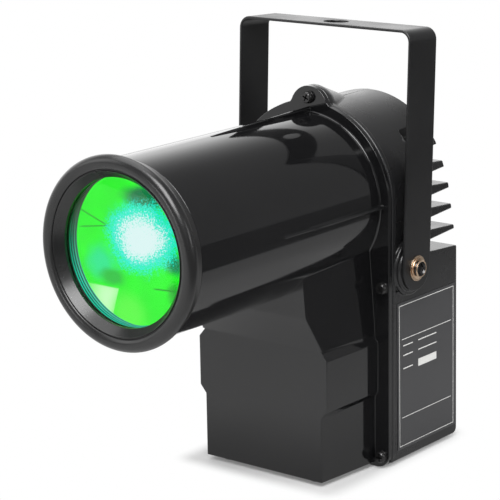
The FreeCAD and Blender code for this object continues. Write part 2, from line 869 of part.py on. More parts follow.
def make_optics():
    face_y = s.lens_seat_y + s.lens_seat_gap
    edge = rod("lens_edge_disc", "y", (0, face_y, s.axis_z), s.lens_back_y - face_y, s.lens_radius)
    front = cap_of_sphere("lens_front", face_y, s.lens_opening - s.lens_front_inset,
                          s.lens_front_rise, True)
    rear = cap_of_sphere("lens_rear", s.lens_back_y, s.lens_radius - s.lens_rear_inset,
                         s.lens_rear_rise, False)
    keep("lens", joined("lens_solid", [edge, front, rear]))
    inner = s.lens_radius - s.gasket_width
    keep("lens_gasket", ring("gasket_ring", "y", (0, s.lens_back_y, s.axis_z), s.gasket_thick,
                             s.lens_radius, inner))
    keep("lens_spacer", ring("spacer_ring", "y", (0, s.gasket_back_y, s.axis_z), s.spacer_length,
                             s.lens_radius, inner))
    keep("mixing_screen", rod("screen_disc", "y", (0, s.spacer_back_y, s.axis_z), s.screen_thick,
                              s.lens_radius))
    keep("retaining_ring", ring("retainer", "y", (0, s.screen_back_y, s.axis_z), s.retainer_length,
                                s.lens_radius, s.lens_radius - s.retainer_width))


# Light engine on the housing's front wall: board, emitter, collimator and its holder


def make_light_engine():
    board = rod("led_disc", "y", (0, s.board_front_y, s.axis_z), s.board_thick, s.led_board_radius)
    bores = [rod("led_bore", "y", (side * s.led_screw_x, s.board_front_y, s.axis_z), s.board_thick,
                 s.m3_hole) for side in (1, -1)]
    keep("led_board", cut("led_board_solid", board, bores))
    half = s.emitter_half
    package = block("led_package", (-half, s.emitter_front_y, s.axis_z - half),
                    (half, s.board_front_y, s.axis_z + half))
    dome = cap_of_sphere("led_dome", s.emitter_front_y, s.dome_radius, s.dome_rise, True)
    keep("led_emitter", joined("led_emitter_solid", [package, dome]))
    screws = [m3_screw("led_screw", (side * s.led_screw_x, s.board_front_y, s.axis_z),
                       s.led_screw_length, -1) for side in (1, -1)]
    keep("led_screws", group("led_screw_group", screws))
    optic_end = s.emitter_front_y - s.optic_gap
    optic_start = optic_end - s.optic_length
    optic = cone("optic_cone", "y", (0, optic_start, s.axis_z), s.optic_length, s.optic_wide,
                 s.optic_narrow)
    keep("collimator", optic)
    outer = cone("holder_outer", "y", (0, optic_start, s.axis_z), s.optic_length - s.holder_short,
                 s.holder_wide, s.holder_narrow)
    inner = cone("holder_inner", "y", (0, optic_start - s.holder_open, s.axis_z),
                 s.optic_length + s.holder_open, s.holder_inner_wide, s.holder_inner_narrow)
    skirt_y = optic_end - s.holder_short - s.skirt_overlap
    legs = ring("holder_skirt", "y", (0, skirt_y, s.axis_z), s.board_front_y - skirt_y,
                s.skirt_radius, s.skirt_bore)
    shell = joined("holder_shell", [outer, legs])
    keep("collimator_holder", cut("holder_solid", shell, [inner]))


# Screws


def m3_screw(name, seat, length, way):
    """A pan-head screw with a cross recess. Its head sits on the seat, towards way along Y."""
    across, level, up = [as_size(value) for value in seat]
    head_start = level if way > 0 else level - s.m3_head_rise
    head = rod(name + "_head", "y", (across, head_start, up), s.m3_head_rise, s.m3_head)
    shank_start = level - length if way > 0 else level
    shank = rod(name + "_shank", "y", (across, shank_start, up), length, s.m3_radius)
    top = level + s.m3_head_rise if way > 0 else level - s.m3_head_rise
    low, high = (top - s.recess_deep, top + past) if way > 0 else (top - past, top + s.recess_deep)
    arms = []
    for wide, tall in ((s.recess_long, s.recess_wide), (s.recess_wide, s.recess_long)):
        arms.append(block(name + "_arm", (across - wide, low, up - tall),
                          (across + wide, high, up + tall)))
    return cut(name, joined(name + "_solid", [head, shank]), arms)


def make_flange_fasteners():
    seat_y = s.flange_y - s.m3_washer_thick
    screws = []
    washers = []
    for across, up in FLANGE_SCREWS:
        screws.append(m3_screw("flange_screw", (across, seat_y, up), s.flange_screw_length, -1))
        washers.append(ring("flange_washer", "y", (across, seat_y, up), s.m3_washer_thick,
                            s.m3_washer, s.m3_hole))
    keep("flange_screws", group("flange_screw_group", screws))
    keep("flange_washers", group("flange_washer_group", washers))


# Rear housing: lip, arched dome, fins, lower box and pivot bosses


def arched(half, foot_half, foot_z):
    """Straight part of the housing's outline; a circle of the same half width tops it."""
    return [(-foot_half, foot_z), (foot_half, foot_z), (half, s.axis_z), (-half, s.axis_z)]


def make_housing():
    body = new_body("housing")
    lip = rectangle(-s.lip_half, s.lip_half, s.flange_foot_z, s.axis_z)
    extrude(body, "Pad", "y", [lip], s.flange_back_y, s.lip_back_y)
    round_edges(body, s.flange_corner, lambda middle, way:
                abs(way.y) > 1 and middle.z < s.flange_foot_z.number + 0.1)
    extrude(body, "Pad", "y", [("circle", 0, s.axis_z, s.lip_half)], s.flange_back_y, s.lip_back_y)
    ear = ("circle", 0, s.ear_z, s.ear_radius)
    extrude(body, "Pad", "y", [ear], s.flange_back_y, s.lip_back_y)
    boss = extrude(body, "Pad", "y", [ear], s.lip_back_y, s.ear_boss_rear_y)
    bind(boss, "TaperAngle", -s.ear_boss_taper)
    doc.recompute()
    straight = arched(s.house_half, s.house_foot_half, s.floor_z)
    extrude(body, "Pad", "y", [straight], s.flange_back_y, s.house_rear_y)
    dome = ("circle", 0, s.axis_z, s.house_half)
    extrude(body, "Pad", "y", [dome], s.flange_back_y, s.house_rear_y)
    behind_fins = [(s.house_rear_y, s.box_top_z), (s.dome_rear_y, s.dome_slope_z),
                   (s.dome_rear_y, s.axis_z + s.lip_half), (s.house_rear_y + past, s.axis_z + s.lip_half),
                   (s.house_rear_y + past, s.box_top_z)]
    extrude(body, "Pocket", "x", [behind_fins], -s.lip_half, s.lip_half)
    add_fin_slots(body)
    dome_hollow = ("circle", 0, s.axis_z, s.dome_bore)
    extrude(body, "Pocket", "y", [dome_hollow], s.flange_back_y, s.engine_wall_y)
    front_hollow = rectangle(-s.cavity_half, s.cavity_half, s.cavity_floor_z, s.axis_z)
    extrude(body, "Pocket", "y", [front_hollow], s.flange_back_y, s.engine_wall_y)
    cavity = rectangle(-s.cavity_half, s.cavity_half, s.cavity_floor_z, s.cavity_top_z)
    rear_inside_y = s.panel_back_y - s.panel_ledge
    extrude(body, "Pocket", "y", [cavity], s.engine_wall_y - past, rear_inside_y)
    edge = s.ledge_width
    window = rectangle(edge - s.panel_half, s.panel_half - edge, s.panel_low_z + edge,
                       s.panel_high_z - edge)
    extrude(body, "Pocket", "y", [window], rear_inside_y - past, s.house_rear_y)
    fit = s.panel_fit
    recess = rectangle(-s.panel_half - fit, s.panel_half + fit, s.panel_low_z - fit,
                       s.panel_high_z + fit)
    extrude(body, "Pocket", "y", [recess], s.panel_back_y, s.house_rear_y)
    for side in (1, -1):
        add_pivot_boss(body, side)
    for across, up in PANEL_SCREWS:
        lug = ("circle", across, up, s.panel_lug_radius)
        extrude(body, "Pad", "y", [lug], s.panel_back_y - s.panel_lug_length, s.panel_back_y)
    panel_bores = [("circle", across, up, s.m3_hole) for across, up in PANEL_SCREWS]
    extrude(body, "Pocket", "y", panel_bores, s.panel_back_y - s.panel_lug_bore, s.panel_back_y)
    for index, (across, up) in enumerate(FLANGE_SCREWS[1:]):
        side = 1 if index % 2 == 0 else -1
        edges = (across - side * s.lug_half, across + side * s.lug_side)
        low_x, high_x = edges if side > 0 else edges[::-1]
        low_z = up - s.lug_half if index < 2 else s.floor_z
        lug = rectangle(low_x, high_x, low_z, up + s.lug_half)
        extrude(body, "Pad", "y", [lug], s.flange_back_y, s.flange_back_y + s.lug_length)
    flange_bores = [("circle", across, up, s.m3_hole) for across, up in FLANGE_SCREWS]
    extrude(body, "Pocket", "y", flange_bores, s.flange_back_y, s.flange_back_y + s.lug_bore)
    wall_bores = [("circle", side * s.led_screw_x, s.axis_z, s.m3_hole) for side in (1, -1)]
    extrude(body, "Pocket", "y", wall_bores, s.engine_wall_y, s.engine_wall_y + s.lug_bore)
    round_edges(body, s.rear_edge_radius, lambda middle, way: abs(way.x) > 60
                and middle.z < s.floor_z.number + 0.1 and middle.y > s.house_rear_y.number - 0.1)
    keep("rear_housing", body)


def add_fin_slots(body):
    """Wedge slots between the fins: each is narrow at its root and wide at the rear."""
    deep = s.house_rear_y + past - s.slot_front_y
    half_end = s.slot_root_half + (s.slot_tip_half - s.slot_root_half) * (deep / s.slot_spread_depth)
    slot = [(s.slot_front_y, s.slot_top_z - s.slot_root_half),
            (s.slot_front_y + deep, s.slot_top_z - half_end),
            (s.slot_front_y + deep, s.slot_top_z + half_end),
            (s.slot_front_y, s.slot_top_z + s.slot_root_half)]
    first = extrude(body, "Pocket", "x", [slot], -s.lip_half, s.lip_half)
    pattern = body.newObject("PartDesign::LinearPattern", "slots")
    pattern.Originals = [first]
    pattern.Direction = (first.Profile[0], ["V_Axis"])
    pattern.Reversed = True
    pattern.Occurrences = 6
    bind(pattern, "Length", s.slot_pitch * 5)
    body.Tip = pattern
    doc.recompute()
    core = rectangle(-s.sink_core_half, s.sink_core_half, s.box_top_z - past,
                     s.slot_top_z + s.slot_tip_half)
    extrude(body, "Pad", "y", [core], s.slot_front_y - past, s.slot_front_y + s.sink_core_depth)


def add_pivot_boss(body, side):
    """Stepped round boss that the yoke leg turns on, with its tapped hole."""
    steps = ((s.boss_base_radius, s.boss_face_x - s.boss_step), (s.boss_top_radius, s.boss_face_x))
    root = s.cavity_half + s.boss_root
    for radius, face in steps:
        disc = ("circle", s.pivot_y, s.pivot_z, radius)
        low, high = (root, face) if side > 0 else (-face, -root)
        extrude(body, "Pad", "x", [disc], low, high)
    post = ("circle", s.pivot_y, s.pivot_z, s.boss_post_radius)
    low, high = (s.post_inner_x, root) if side > 0 else (-root, -s.post_inner_x)
    extrude(body, "Pad", "x", [post], low, high)
    hole = ("circle", s.pivot_y, s.pivot_z, s.bolt_hole)
    low, high = (s.post_inner_x, s.boss_face_x) if side > 0 else (-s.boss_face_x, -s.post_inner_x)
    extrude(body, "Pocket", "x", [hole], low, high)


# Yoke, drawn upright about its pivot and then leaned back by a few degrees

YOKE_LEAN = 2.6


def make_yoke():
    body = new_body("yoke")
    half_bar = s.yoke_bar / 2
    inner = s.yoke_half - s.yoke_thick
    outer_block = rectangle(-s.yoke_half, s.yoke_half, 0, s.yoke_rise)
    extrude(body, "Pad", "y", [outer_block], -half_bar, half_bar)
    gap = rectangle(-inner, inner, -past, s.yoke_rise - s.yoke_thick)
    extrude(body, "Pocket", "y", [gap], -half_bar, half_bar)
    for half, top, bend in ((inner, s.yoke_rise - s.yoke_thick, s.yoke_bend - s.yoke_thick),
                            (s.yoke_half, s.yoke_rise, s.yoke_bend)):
        round_edges(body, bend, lambda middle, way: abs(way.y) > 1
                    and abs(middle.z - top.number) < 0.1
                    and abs(abs(middle.x) - half.number) < 0.1)
    for low, high in ((inner, s.yoke_half), (-s.yoke_half, -inner)):
        extrude(body, "Pad", "x", [("circle", 0, 0, half_bar)], low, high)
        extrude(body, "Pocket", "x", [("circle", 0, 0, s.bolt_radius + s.yoke_bolt_fit)], low, high)
    top_hole = ("circle", 0, 0, s.yoke_hole)
    extrude(body, "Pocket", "z", [top_hole], s.yoke_rise - s.yoke_thick, s.yoke_rise)
    body.Placement.Rotation = FreeCAD.Rotation(FreeCAD.Vector(1, 0, 0), -YOKE_LEAN)
    bind(body, "Placement.Base.y", s.pivot_y)
    bind(body, "Placement.Base.z", s.pivot_z)
    keep("yoke", body)


def make_pivot_bolts():
    """Button-head bolts with a hexagon socket, their plain washers and the friction washers."""
    bolts = []
    washers = []
    pads = []
    seat = s.yoke_half + s.pivot_gap + s.washer_thick
    tip = s.post_inner_x + s.bolt_tip_gap
    top = seat + s.bolt_head_rise
    for side in (1, -1):
        def along(low, high):
            return (low if side > 0 else -high, s.pivot_y, s.pivot_z)
        ends = (s.bolt_head_radius, s.bolt_top_radius)
        start_radius, end_radius = ends if side > 0 else ends[::-1]
        head = cone("bolt_head", "x", along(seat, top), s.bolt_head_rise, start_radius, end_radius)
        shank = rod("bolt_shank", "x", along(tip, seat), seat - tip, s.bolt_radius)
        socket = doc.addObject("Part::Prism", "bolt_socket")
        socket.Polygon = 6
        bind(socket, "Circumradius", s.hex_radius)
        bind(socket, "Height", s.hex_depth)
        socket.Placement.Rotation = DIRECTIONS["x"][2]
        place(socket, along(top - s.hex_depth, top))
        bolts.append(cut("pivot_bolt", joined("bolt_solid", [head, shank]), [socket]))
        washers.append(ring("pivot_washer", "x", along(seat - s.washer_thick, seat),
                            s.washer_thick, s.washer_radius, s.bolt_hole))
        pads.append(ring("friction_pad", "x", along(s.boss_face_x, s.boss_face_x + s.pad_thick),
                         s.pad_thick, s.boss_top_radius - s.pad_inset, s.bolt_hole))
    keep("pivot_bolts", group("bolt_group", bolts))
    keep("pivot_washers", group("washer_group", washers))
    keep("friction_washers", group("pad_group", pads))


# Rear panel and its controls and sockets


def make_panel():
    body = new_body("panel")
    plate = rectangle(-s.panel_half, s.panel_half, s.panel_low_z, s.panel_high_z)
    extrude(body, "Pad", "y", [plate], s.panel_back_y, s.panel_y)
    window = rectangle(-s.display_half_width, s.display_half_width,
                       s.display_z - s.display_half_height, s.display_z + s.display_half_height)
    mains_across = s.mains_half_width - s.shell_inset + s.inlet_fit
    mains_up = s.mains_half_height - s.shell_inset + s.inlet_fit
    mains = rectangle(-mains_across, mains_across, s.mains_z - mains_up, s.mains_z + mains_up)
    holes = [window, mains]
    for side in (1, -1):
        holes.append(("circle", side * s.dmx_x, s.dmx_z, s.dmx_barrel + s.slip))
    for index in range(len(BUTTONS)):
        holes.append(("circle", button_x(index), s.button_z, s.button_radius + s.button_fit))
    for across, up in PANEL_SCREWS + SOCKET_SCREWS:
        holes.append(("circle", across, up, s.m3_hole))
    extrude(body, "Pocket", "y", holes, s.panel_back_y, s.panel_y)
    keep("rear_panel", body)
    screws = [m3_screw("panel_screw", (across, s.panel_y, up), s.panel_screw_length, 1)
              for across, up in PANEL_SCREWS]
    keep("panel_screws", group("panel_screw_group", screws))


def make_display():
    across = s.display_half_width - s.slip
    up = s.display_half_height - s.slip
    keep("display_window", block("window_pane", (-across, s.panel_y - s.window_thick, s.display_z - up),
                                 (across, s.panel_y, s.display_z + up)))
    up = s.display_half_height - s.module_inset
    module = block("display_block", (-s.display_half_width, s.board_back_y, s.display_z - up),
                   (s.display_half_width, s.panel_back_y - s.module_gap, s.display_z + up))
    keep("display_module", module)


def make_buttons():
    switches = []
    for index, name in enumerate(BUTTONS):
        across = button_x(index)
        body_end_y = s.board_back_y + s.switch_rise
        half = s.switch_half
        base = block("switch_base", (across - half, s.board_back_y, s.button_z - half),
                     (across + half, body_end_y, s.button_z + half))
        switches.append(base)
        stem_start = body_end_y + s.button_travel + s.stem_gap
        collar_start = s.panel_back_y - s.collar_set
        collar = rod("button_collar", "y", (across, collar_start, s.button_z), s.collar_thick,
                     s.button_radius + s.collar_over)
        stem = rod("button_stem", "y", (across, stem_start, s.button_z),
                   s.panel_y + s.button_rise - stem_start, s.button_radius)
        keep("button_" + name, joined("button_" + name + "_solid", [collar, stem]))
    keep("tact_switches", group("switch_group", switches))


def dmx_shell(name, across):
    """Square flange and round barrel of a three-pole chassis socket."""
    flange = block(name + "_flange",
                   (across - s.dmx_half_width, s.panel_y, s.dmx_z - s.dmx_half_height),
                   (across + s.dmx_half_width, s.socket_front_y, s.dmx_z + s.dmx_half_height))
    barrel = rod(name + "_barrel", "y", (across, s.panel_y - s.dmx_depth, s.dmx_z),
                 s.dmx_depth + s.socket_flange / 2, s.dmx_barrel)
    outer = joined(name + "_outer", [flange, barrel])
    sinks = []
    for turned in (1, -1):
        x, z = across + turned * s.dmx_screw_x, s.dmx_z - turned * s.dmx_screw_z
        sinks.append(rod("sink_bore", "y", (x, s.panel_y, z), s.socket_flange, s.m3_hole))
        sinks.append(cone("sink_cone", "y", (x, s.socket_front_y - s.countersink, z), s.countersink,
                          s.m3_radius, s.m3_head))
    return cut(name + "_flanged", outer, sinks)


def socket_poles(across):
    """Three pole places on a circle, as (X, Z)."""
    return [(across + s.pole_circle * math.sin(turn_angle),
             s.dmx_z + s.pole_circle * math.cos(turn_angle))
            for turn_angle in (math.radians(60), math.radians(180), math.radians(300))]


def make_dmx_sockets():
    across = -s.dmx_x
    floor_y = s.dmx_floor_y
    cup = rod("dmx_in_cup", "y", (across, floor_y, s.dmx_z), s.dmx_floor + past, s.dmx_bore)
    root_y = floor_y - s.pin_root
    pin_bores = [rod("dmx_pin_bore", "y", (x, root_y, z), s.pin_root + past, s.pin_radius)
                 for x, z in socket_poles(across)]
    keep("dmx_in", cut("dmx_in_solid", dmx_shell("dmx_in_shell", across), [cup] + pin_bores))
    pins = [rod("dmx_pin", "y", (x, root_y, z), s.pin_root + s.pin_free, s.pin_radius)
            for x, z in socket_poles(across)]
    keep("dmx_in_pins", group("dmx_pin_group", pins))
    across = s.dmx_x
    mouth = rod("dmx_out_cup", "y", (across, floor_y, s.dmx_z), s.dmx_floor + past, s.dmx_bore)
    front_y = s.socket_front_y
    tab_low_z = s.dmx_z + s.dmx_bore + s.latch_low
    tab_high_z = s.dmx_z + s.dmx_half_height - s.latch_high
    way_half = s.latch_half + s.latch_fit
    latch_way = block("dmx_latch_way", (across - way_half, s.panel_y, tab_low_z - s.latch_fit),
                      (across + way_half, front_y, tab_high_z + s.latch_fit))
    back = dmx_shell("dmx_out_shell", across)
    keep("dmx_out", cut("dmx_out_solid", back, [mouth, latch_way]))
    core = rod("dmx_out_core", "y", (across, floor_y, s.dmx_z), s.insert_length, s.insert_radius)
    holes = [rod("dmx_out_hole", "y", (x, floor_y + s.insert_floor, z), s.insert_length, s.insert_hole)
             for x, z in socket_poles(across)]
    keep("dmx_out_insert", cut("dmx_out_insert_solid", core, holes))
    tab_y = s.panel_y + s.latch_rise + s.latch_fit
    tab = block("latch_tab", (across - s.latch_half, tab_y, tab_low_z),
                (across + s.latch_half, front_y + s.latch_rise, tab_high_z))
    keep("dmx_latch", tab)
    screws = []
    for x, z in SOCKET_SCREWS:
        head_y = front_y - s.countersink
        head = cone("flat_head", "y", (x, head_y, z), s.countersink, s.m3_radius, s.m3_head)
        shank_y = front_y - s.socket_screw_length
        shank = rod("flat_shank", "y", (x, shank_y, z), head_y - shank_y, s.m3_radius)
        slot = block("flat_slot", (x - s.screw_slot_half, front_y - s.screw_slot_deep, z - s.screw_slot_wide),
                     (x + s.screw_slot_half, front_y + past, z + s.screw_slot_wide))
        screws.append(cut("socket_screw", joined("flat_screw", [head, shank]), [slot]))
    keep("socket_screws", group("socket_screw_group", screws))


def make_mains_inlet():
    """Appliance inlet with three blades, and a fuse drawer that slides out below them."""
    half_w, half_h = s.mains_half_width, s.mains_half_height
    back_y = s.panel_y - s.mains_depth
    front_y = s.socket_front_y
    low_z, high_z = s.mains_z - half_h, s.mains_z + half_h
    flange = block("inlet_flange", (-half_w - s.inlet_side, s.panel_y, low_z - s.inlet_end),
                   (half_w + s.inlet_side, front_y, high_z + s.inlet_end))
    inset = s.shell_inset
    shell = block("inlet_shell", (inset - half_w, back_y, low_z + inset),
                  (half_w - inset, s.panel_y, high_z - inset))
    mouth_low_z = s.mains_z - s.mouth_drop
    mouth_half = half_w - s.mouth_inset
    mouth = block("inlet_mouth", (-mouth_half, front_y - s.mouth_depth, mouth_low_z),
                  (mouth_half, front_y + past, high_z - s.mouth_top_inset))
    way_half = half_w - s.drawer_inset + s.drawer_fit
    drawer_way = block("drawer_way", (-way_half, front_y - s.drawer_depth - s.drawer_end_fit,
                                      low_z + s.drawer_floor),
                       (way_half, front_y + past, mouth_low_z - s.drawer_wall))
    blade_places = ((-s.blade_side_x, s.blade_side_rise), (s.blade_side_x, s.blade_side_rise),
                    (as_size(0), s.blade_top_rise))
    slots = []
    blades = []
    for x, rise in blade_places:
        low = (x - s.blade_half, back_y - s.blade_tail, s.mains_z + rise - s.blade_tall)
        high_x, high_blade_z = x + s.blade_half, s.mains_z + rise + s.blade_tall
        slots.append(block("blade_slot", low, (high_x, front_y - s.mouth_depth + past, high_blade_z)))
        blades.append(block("blade", low, (high_x, front_y - s.blade_short, high_blade_z)))
    outer = joined("inlet_outer", [flange, shell])
    keep("mains_inlet", cut("mains_inlet_solid", outer, [mouth, drawer_way] + slots))
    keep("mains_blades", group("blade_group", blades))
    drawer_low = low_z + s.drawer_floor + s.drawer_fit
    drawer_high = mouth_low_z - s.drawer_wall - s.drawer_fit
    drawer_half = half_w - s.drawer_inset
    drawer = block("drawer_block", (-drawer_half, front_y - s.drawer_depth, drawer_low),
                   (drawer_half, front_y, drawer_high))
    fuse_z = (drawer_low + drawer_high) / 2
    fuse_y = front_y - s.fuse_setback
    nest_half = s.fuse_half + s.fuse_nest_gap
    nest = rod("fuse_nest", "x", (-nest_half, fuse_y, fuse_z), nest_half * 2, s.fuse_nest_radius)
    grip = block("drawer_grip", (-s.grip_half, front_y - s.grip_deep, fuse_z - s.grip_low),
                 (s.grip_half, front_y + past, fuse_z + s.grip_high))
    keep("fuse_drawer", cut("fuse_drawer_solid", drawer, [nest, grip]))
    glass_half = s.fuse_glass_half
    glass = rod("fuse_glass", "x", (-glass_half, fuse_y, fuse_z), glass_half * 2, s.fuse_glass_radius)
    caps = [rod("fuse_cap", "x", (x, fuse_y, fuse_z), s.fuse_half - glass_half, s.fuse_cap_radius)
            for x in (-s.fuse_half, glass_half)]
    keep("fuse", joined("fuse_solid", [glass] + caps))


# Control board behind the panel


def make_control_board():
    board_y = s.control_board_y
    low_z = s.button_z - s.control_low
    keep("control_board", block("control_plate", (-s.control_half, board_y, low_z),
                                (s.control_half, s.board_back_y, s.display_z + s.control_high)))
    chip_z = s.button_z + s.chip_low
    chip = block("control_chip", (-s.chip_half, board_y - s.chip_thick, chip_z),
                 (s.chip_half, board_y, chip_z + s.chip_tall))
    header_z = s.button_z - s.header_low
    header = block("control_header", (s.header_x, board_y - s.header_thick, header_z),
                   (s.header_x + s.header_long, board_y, header_z + s.header_tall))
    keep("control_parts", group("control_part_group", [chip, header]))
    posts = [rod("panel_post", "y", (x, s.board_back_y, z), s.panel_back_y - s.board_back_y,
                 s.post_radius) for x, z in POST_PLACES]
    keep("panel_posts", group("panel_post_group", posts))


# Power board on the floor of the box


def make_power_board():
    top_z = s.power_top_z
    plate = block("power_plate", (-s.power_half, s.power_front_y, s.power_board_z),
                  (s.power_half, s.power_rear_y, top_z))
    stand_x = s.power_half - s.stand_inset
    corners = [(side * stand_x, y) for side in (-1, 1)
               for y in (s.power_front_y + s.stand_inset, s.power_rear_y - s.stand_inset)]
    bores = [rod("stand_bore", "z", (x, y, s.power_board_z), s.board_thick, s.m3_hole)
             for x, y in corners]
    keep("power_board", cut("power_board_solid", plate, bores))
    posts = [ring("board_post", "z", (x, y, s.cavity_floor_z), s.power_board_rise, s.stand_radius,
                  s.m3_radius) for x, y in corners]
    keep("board_posts", group("post_group", posts))
    middle = s.transformer_y
    core = block("transformer_core", (-s.core_half, middle - s.core_half, top_z),
                 (s.core_half, middle + s.core_half, top_z + s.core_rise))
    coil = block("transformer_coil", (-s.coil_half, middle - s.coil_depth_half, top_z),
                 (s.coil_half, middle + s.coil_depth_half, top_z + s.coil_rise))
    keep("transformer", joined("transformer_solid", [core, coil]))
    can_x = s.power_half - s.can_side_inset
    front_y, rear_y = s.power_front_y + s.can_front_inset, s.power_rear_y - s.can_rear_inset
    cans = [rod("can", "z", (-can_x, front_y, top_z), s.can_front_rise, s.can_front_radius),
            rod("can", "z", (-can_x, rear_y, top_z), s.can_large_rise, s.can_large_radius),
            rod("can", "z", (can_x, rear_y, top_z), s.can_small_rise, s.can_small_radius)]
    keep("capacitors", group("capacitor_group", cans))
    far_y = s.sink_y + s.sink_long
    low = (s.sink_x, s.sink_y, top_z)
    fin = block("sink_web", low, (s.sink_x + s.sink_thick, far_y, top_z + s.sink_rise))
    foot = block("sink_foot", low, (s.sink_x + s.sink_wide, far_y, top_z + s.sink_thick))
    keep("regulator_sink", joined("regulator_sink_solid", [fin, foot]))


# Wiring between the boards, the light engine and the inlet


def wire_run(stops):
    """A bundle of leads along straight runs, each along one axis, with a ball in each bend."""
    stops = [[as_size(value) for value in stop] for stop in stops]
    pieces = []
    for start, end in zip(stops, stops[1:]):
        steps = [high.number - low.number for low, high in zip(start, end)]
        axis = max(range(3), key=lambda index: abs(steps[index]))
        low, high = (start, end) if steps[axis] > 0 else (end, start)
        pieces.append(rod("wire_run", "xyz"[axis], low, high[axis] - low[axis], s.wire_radius))
    pieces += [ball("wire_bend", stop, s.wire_radius) for stop in stops[1:-1]]
    return joined("wire_bundle", pieces)


def make_wiring():
    board_y = s.power_rear_y - s.wire_board_inset
    rise_y = s.power_rear_y + s.wire_rear_gap
    hop_z = s.power_top_z + s.wire_hop
    led_start_x = s.wire_start_inset - s.power_half
    led_side_x = s.wire_side_gap - s.cavity_half
    led_x = -s.led_screw_x - s.wire_led_step
    wall_y = s.engine_wall_y - s.wire_wall_gap
    bridge_z = s.pivot_z - s.wire_bridge_drop
    led_z = s.axis_z - s.wire_led_drop
    led_run = wire_run((
        (led_start_x, board_y, s.power_top_z), (led_start_x, board_y, hop_z),
        (led_start_x, rise_y, hop_z), (led_side_x, rise_y, hop_z), (led_side_x, rise_y, bridge_z),
        (led_side_x, wall_y, bridge_z), (led_x, wall_y, bridge_z), (led_x, wall_y, led_z),
        (led_x, s.board_front_y, led_z)))
    data_x = s.data_wire_x
    side_x = s.cavity_half - s.data_side_gap
    header_x = s.header_x + s.header_long / 2
    header_z = s.button_z - s.header_low + s.header_tall / 2
    data_run = wire_run((
        (data_x, board_y, s.power_top_z), (data_x, board_y, hop_z), (data_x, rise_y, hop_z),
        (side_x, rise_y, hop_z), (side_x, rise_y, header_z), (header_x, rise_y, header_z),
        (header_x, s.control_board_y - s.header_thick, header_z)))
    blade_z = s.mains_z + s.blade_top_rise
    mains_y = s.power_rear_y - s.mains_wire_inset
    mains_run = wire_run((
        (0, s.panel_y - s.mains_depth - s.blade_tail, blade_z), (0, mains_y, blade_z),
        (0, mains_y, s.power_top_z)))
    keep("wiring", group("wiring_group", [led_run, data_run, mains_run]))


# Rating label on the right side and rubber feet


def make_label():
    """A film that lies on the housing's side, which leans in a little as it rises."""
    body = new_body("label")
    lean = (s.house_foot_half - s.house_half) / (s.axis_z - s.floor_z)
    low_z, high_z = s.floor_z + s.label_low, s.pivot_z - s.label_top
    low_x = s.house_foot_half - lean * s.label_low
    high_x = s.house_foot_half - lean * (high_z - s.floor_z)
    film = [(low_x, low_z), (low_x + s.label_thick, low_z), (high_x + s.label_thick, high_z),
            (high_x, high_z)]
    extrude(body, "Pad", "y", [film], s.pivot_y - s.label_front, s.pivot_y + s.label_rear)
    keep("rating_label", body)


def make_feet():
    front_x, front_y = s.box_half_front - s.foot_front_inset, s.box_front_y + s.foot_front_setback
    rear_x, rear_y = s.house_foot_half - s.foot_rear_inset, s.house_rear_y - s.foot_rear_setback
    feet = [cone("foot", "z", (side * x, y, 0), s.floor_z, s.foot_radius - s.foot_taper, s.foot_radius)
            for x, y in ((front_x, front_y), (rear_x, rear_y)) for side in (-1, 1)]
    keep("rubber_feet", group("foot_group", feet))


def check_and_export():
    doc.recompute()
    for item in doc.Objects:
        if "Invalid" in item.State or "Error" in item.State:
            raise ValueError("failed object: %s %s" % (item.Name, item.State))
    os.makedirs("parts", exist_ok=True)
    for name, item in NODES:
        shape = item.Shape
        if shape.isNull() or not shape.isValid():
            raise ValueError("bad shape: " + name)
    for name, item in NODES:
        item.Shape.exportStep("parts/%s.step" % name)
        print("%-20s %3d solids %10.1f mm3" % (name, len(item.Shape.Solids), item.Shape.Volume))


make_snoot()
make_rim()
make_optics()
make_light_engine()
make_flange_fasteners()
make_housing()
make_yoke()
make_pivot_bolts()
make_panel()
make_display()
make_buttons()
make_dmx_sockets()
make_mains_inlet()
make_control_board()
make_power_board()
make_wiring()
make_label()
make_feet()
check_and_export()
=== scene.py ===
import json
import math
import bmesh
import bpy
from mathutils import Matrix, Vector


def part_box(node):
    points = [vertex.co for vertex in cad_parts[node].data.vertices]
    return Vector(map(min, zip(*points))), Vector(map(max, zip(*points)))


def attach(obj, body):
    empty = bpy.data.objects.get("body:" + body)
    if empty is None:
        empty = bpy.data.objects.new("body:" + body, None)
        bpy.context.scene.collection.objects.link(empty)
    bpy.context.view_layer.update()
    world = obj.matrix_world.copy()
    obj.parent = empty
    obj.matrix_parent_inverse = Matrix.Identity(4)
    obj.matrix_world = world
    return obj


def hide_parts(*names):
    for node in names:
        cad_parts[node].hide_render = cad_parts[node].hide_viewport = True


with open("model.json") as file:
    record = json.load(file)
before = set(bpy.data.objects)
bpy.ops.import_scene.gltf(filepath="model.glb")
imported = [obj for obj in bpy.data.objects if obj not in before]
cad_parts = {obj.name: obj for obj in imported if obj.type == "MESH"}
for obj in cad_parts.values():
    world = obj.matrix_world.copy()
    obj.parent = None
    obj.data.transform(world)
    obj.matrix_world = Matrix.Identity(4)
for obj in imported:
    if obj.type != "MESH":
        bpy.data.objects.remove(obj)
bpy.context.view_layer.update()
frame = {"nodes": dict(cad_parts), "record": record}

# Pinspot light in its rest pose, seen from the front right and a little above.
# Lengths are millimetres, and become metres where Blender takes them.
# The light shines along -Y, +X is the labelled side and +Z is up.

MM = 0.001


def span(node):
    """Lowest and highest corner of a CAD node, in millimetres."""
    low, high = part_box(node)
    return Vector(low) / MM, Vector(high) / MM


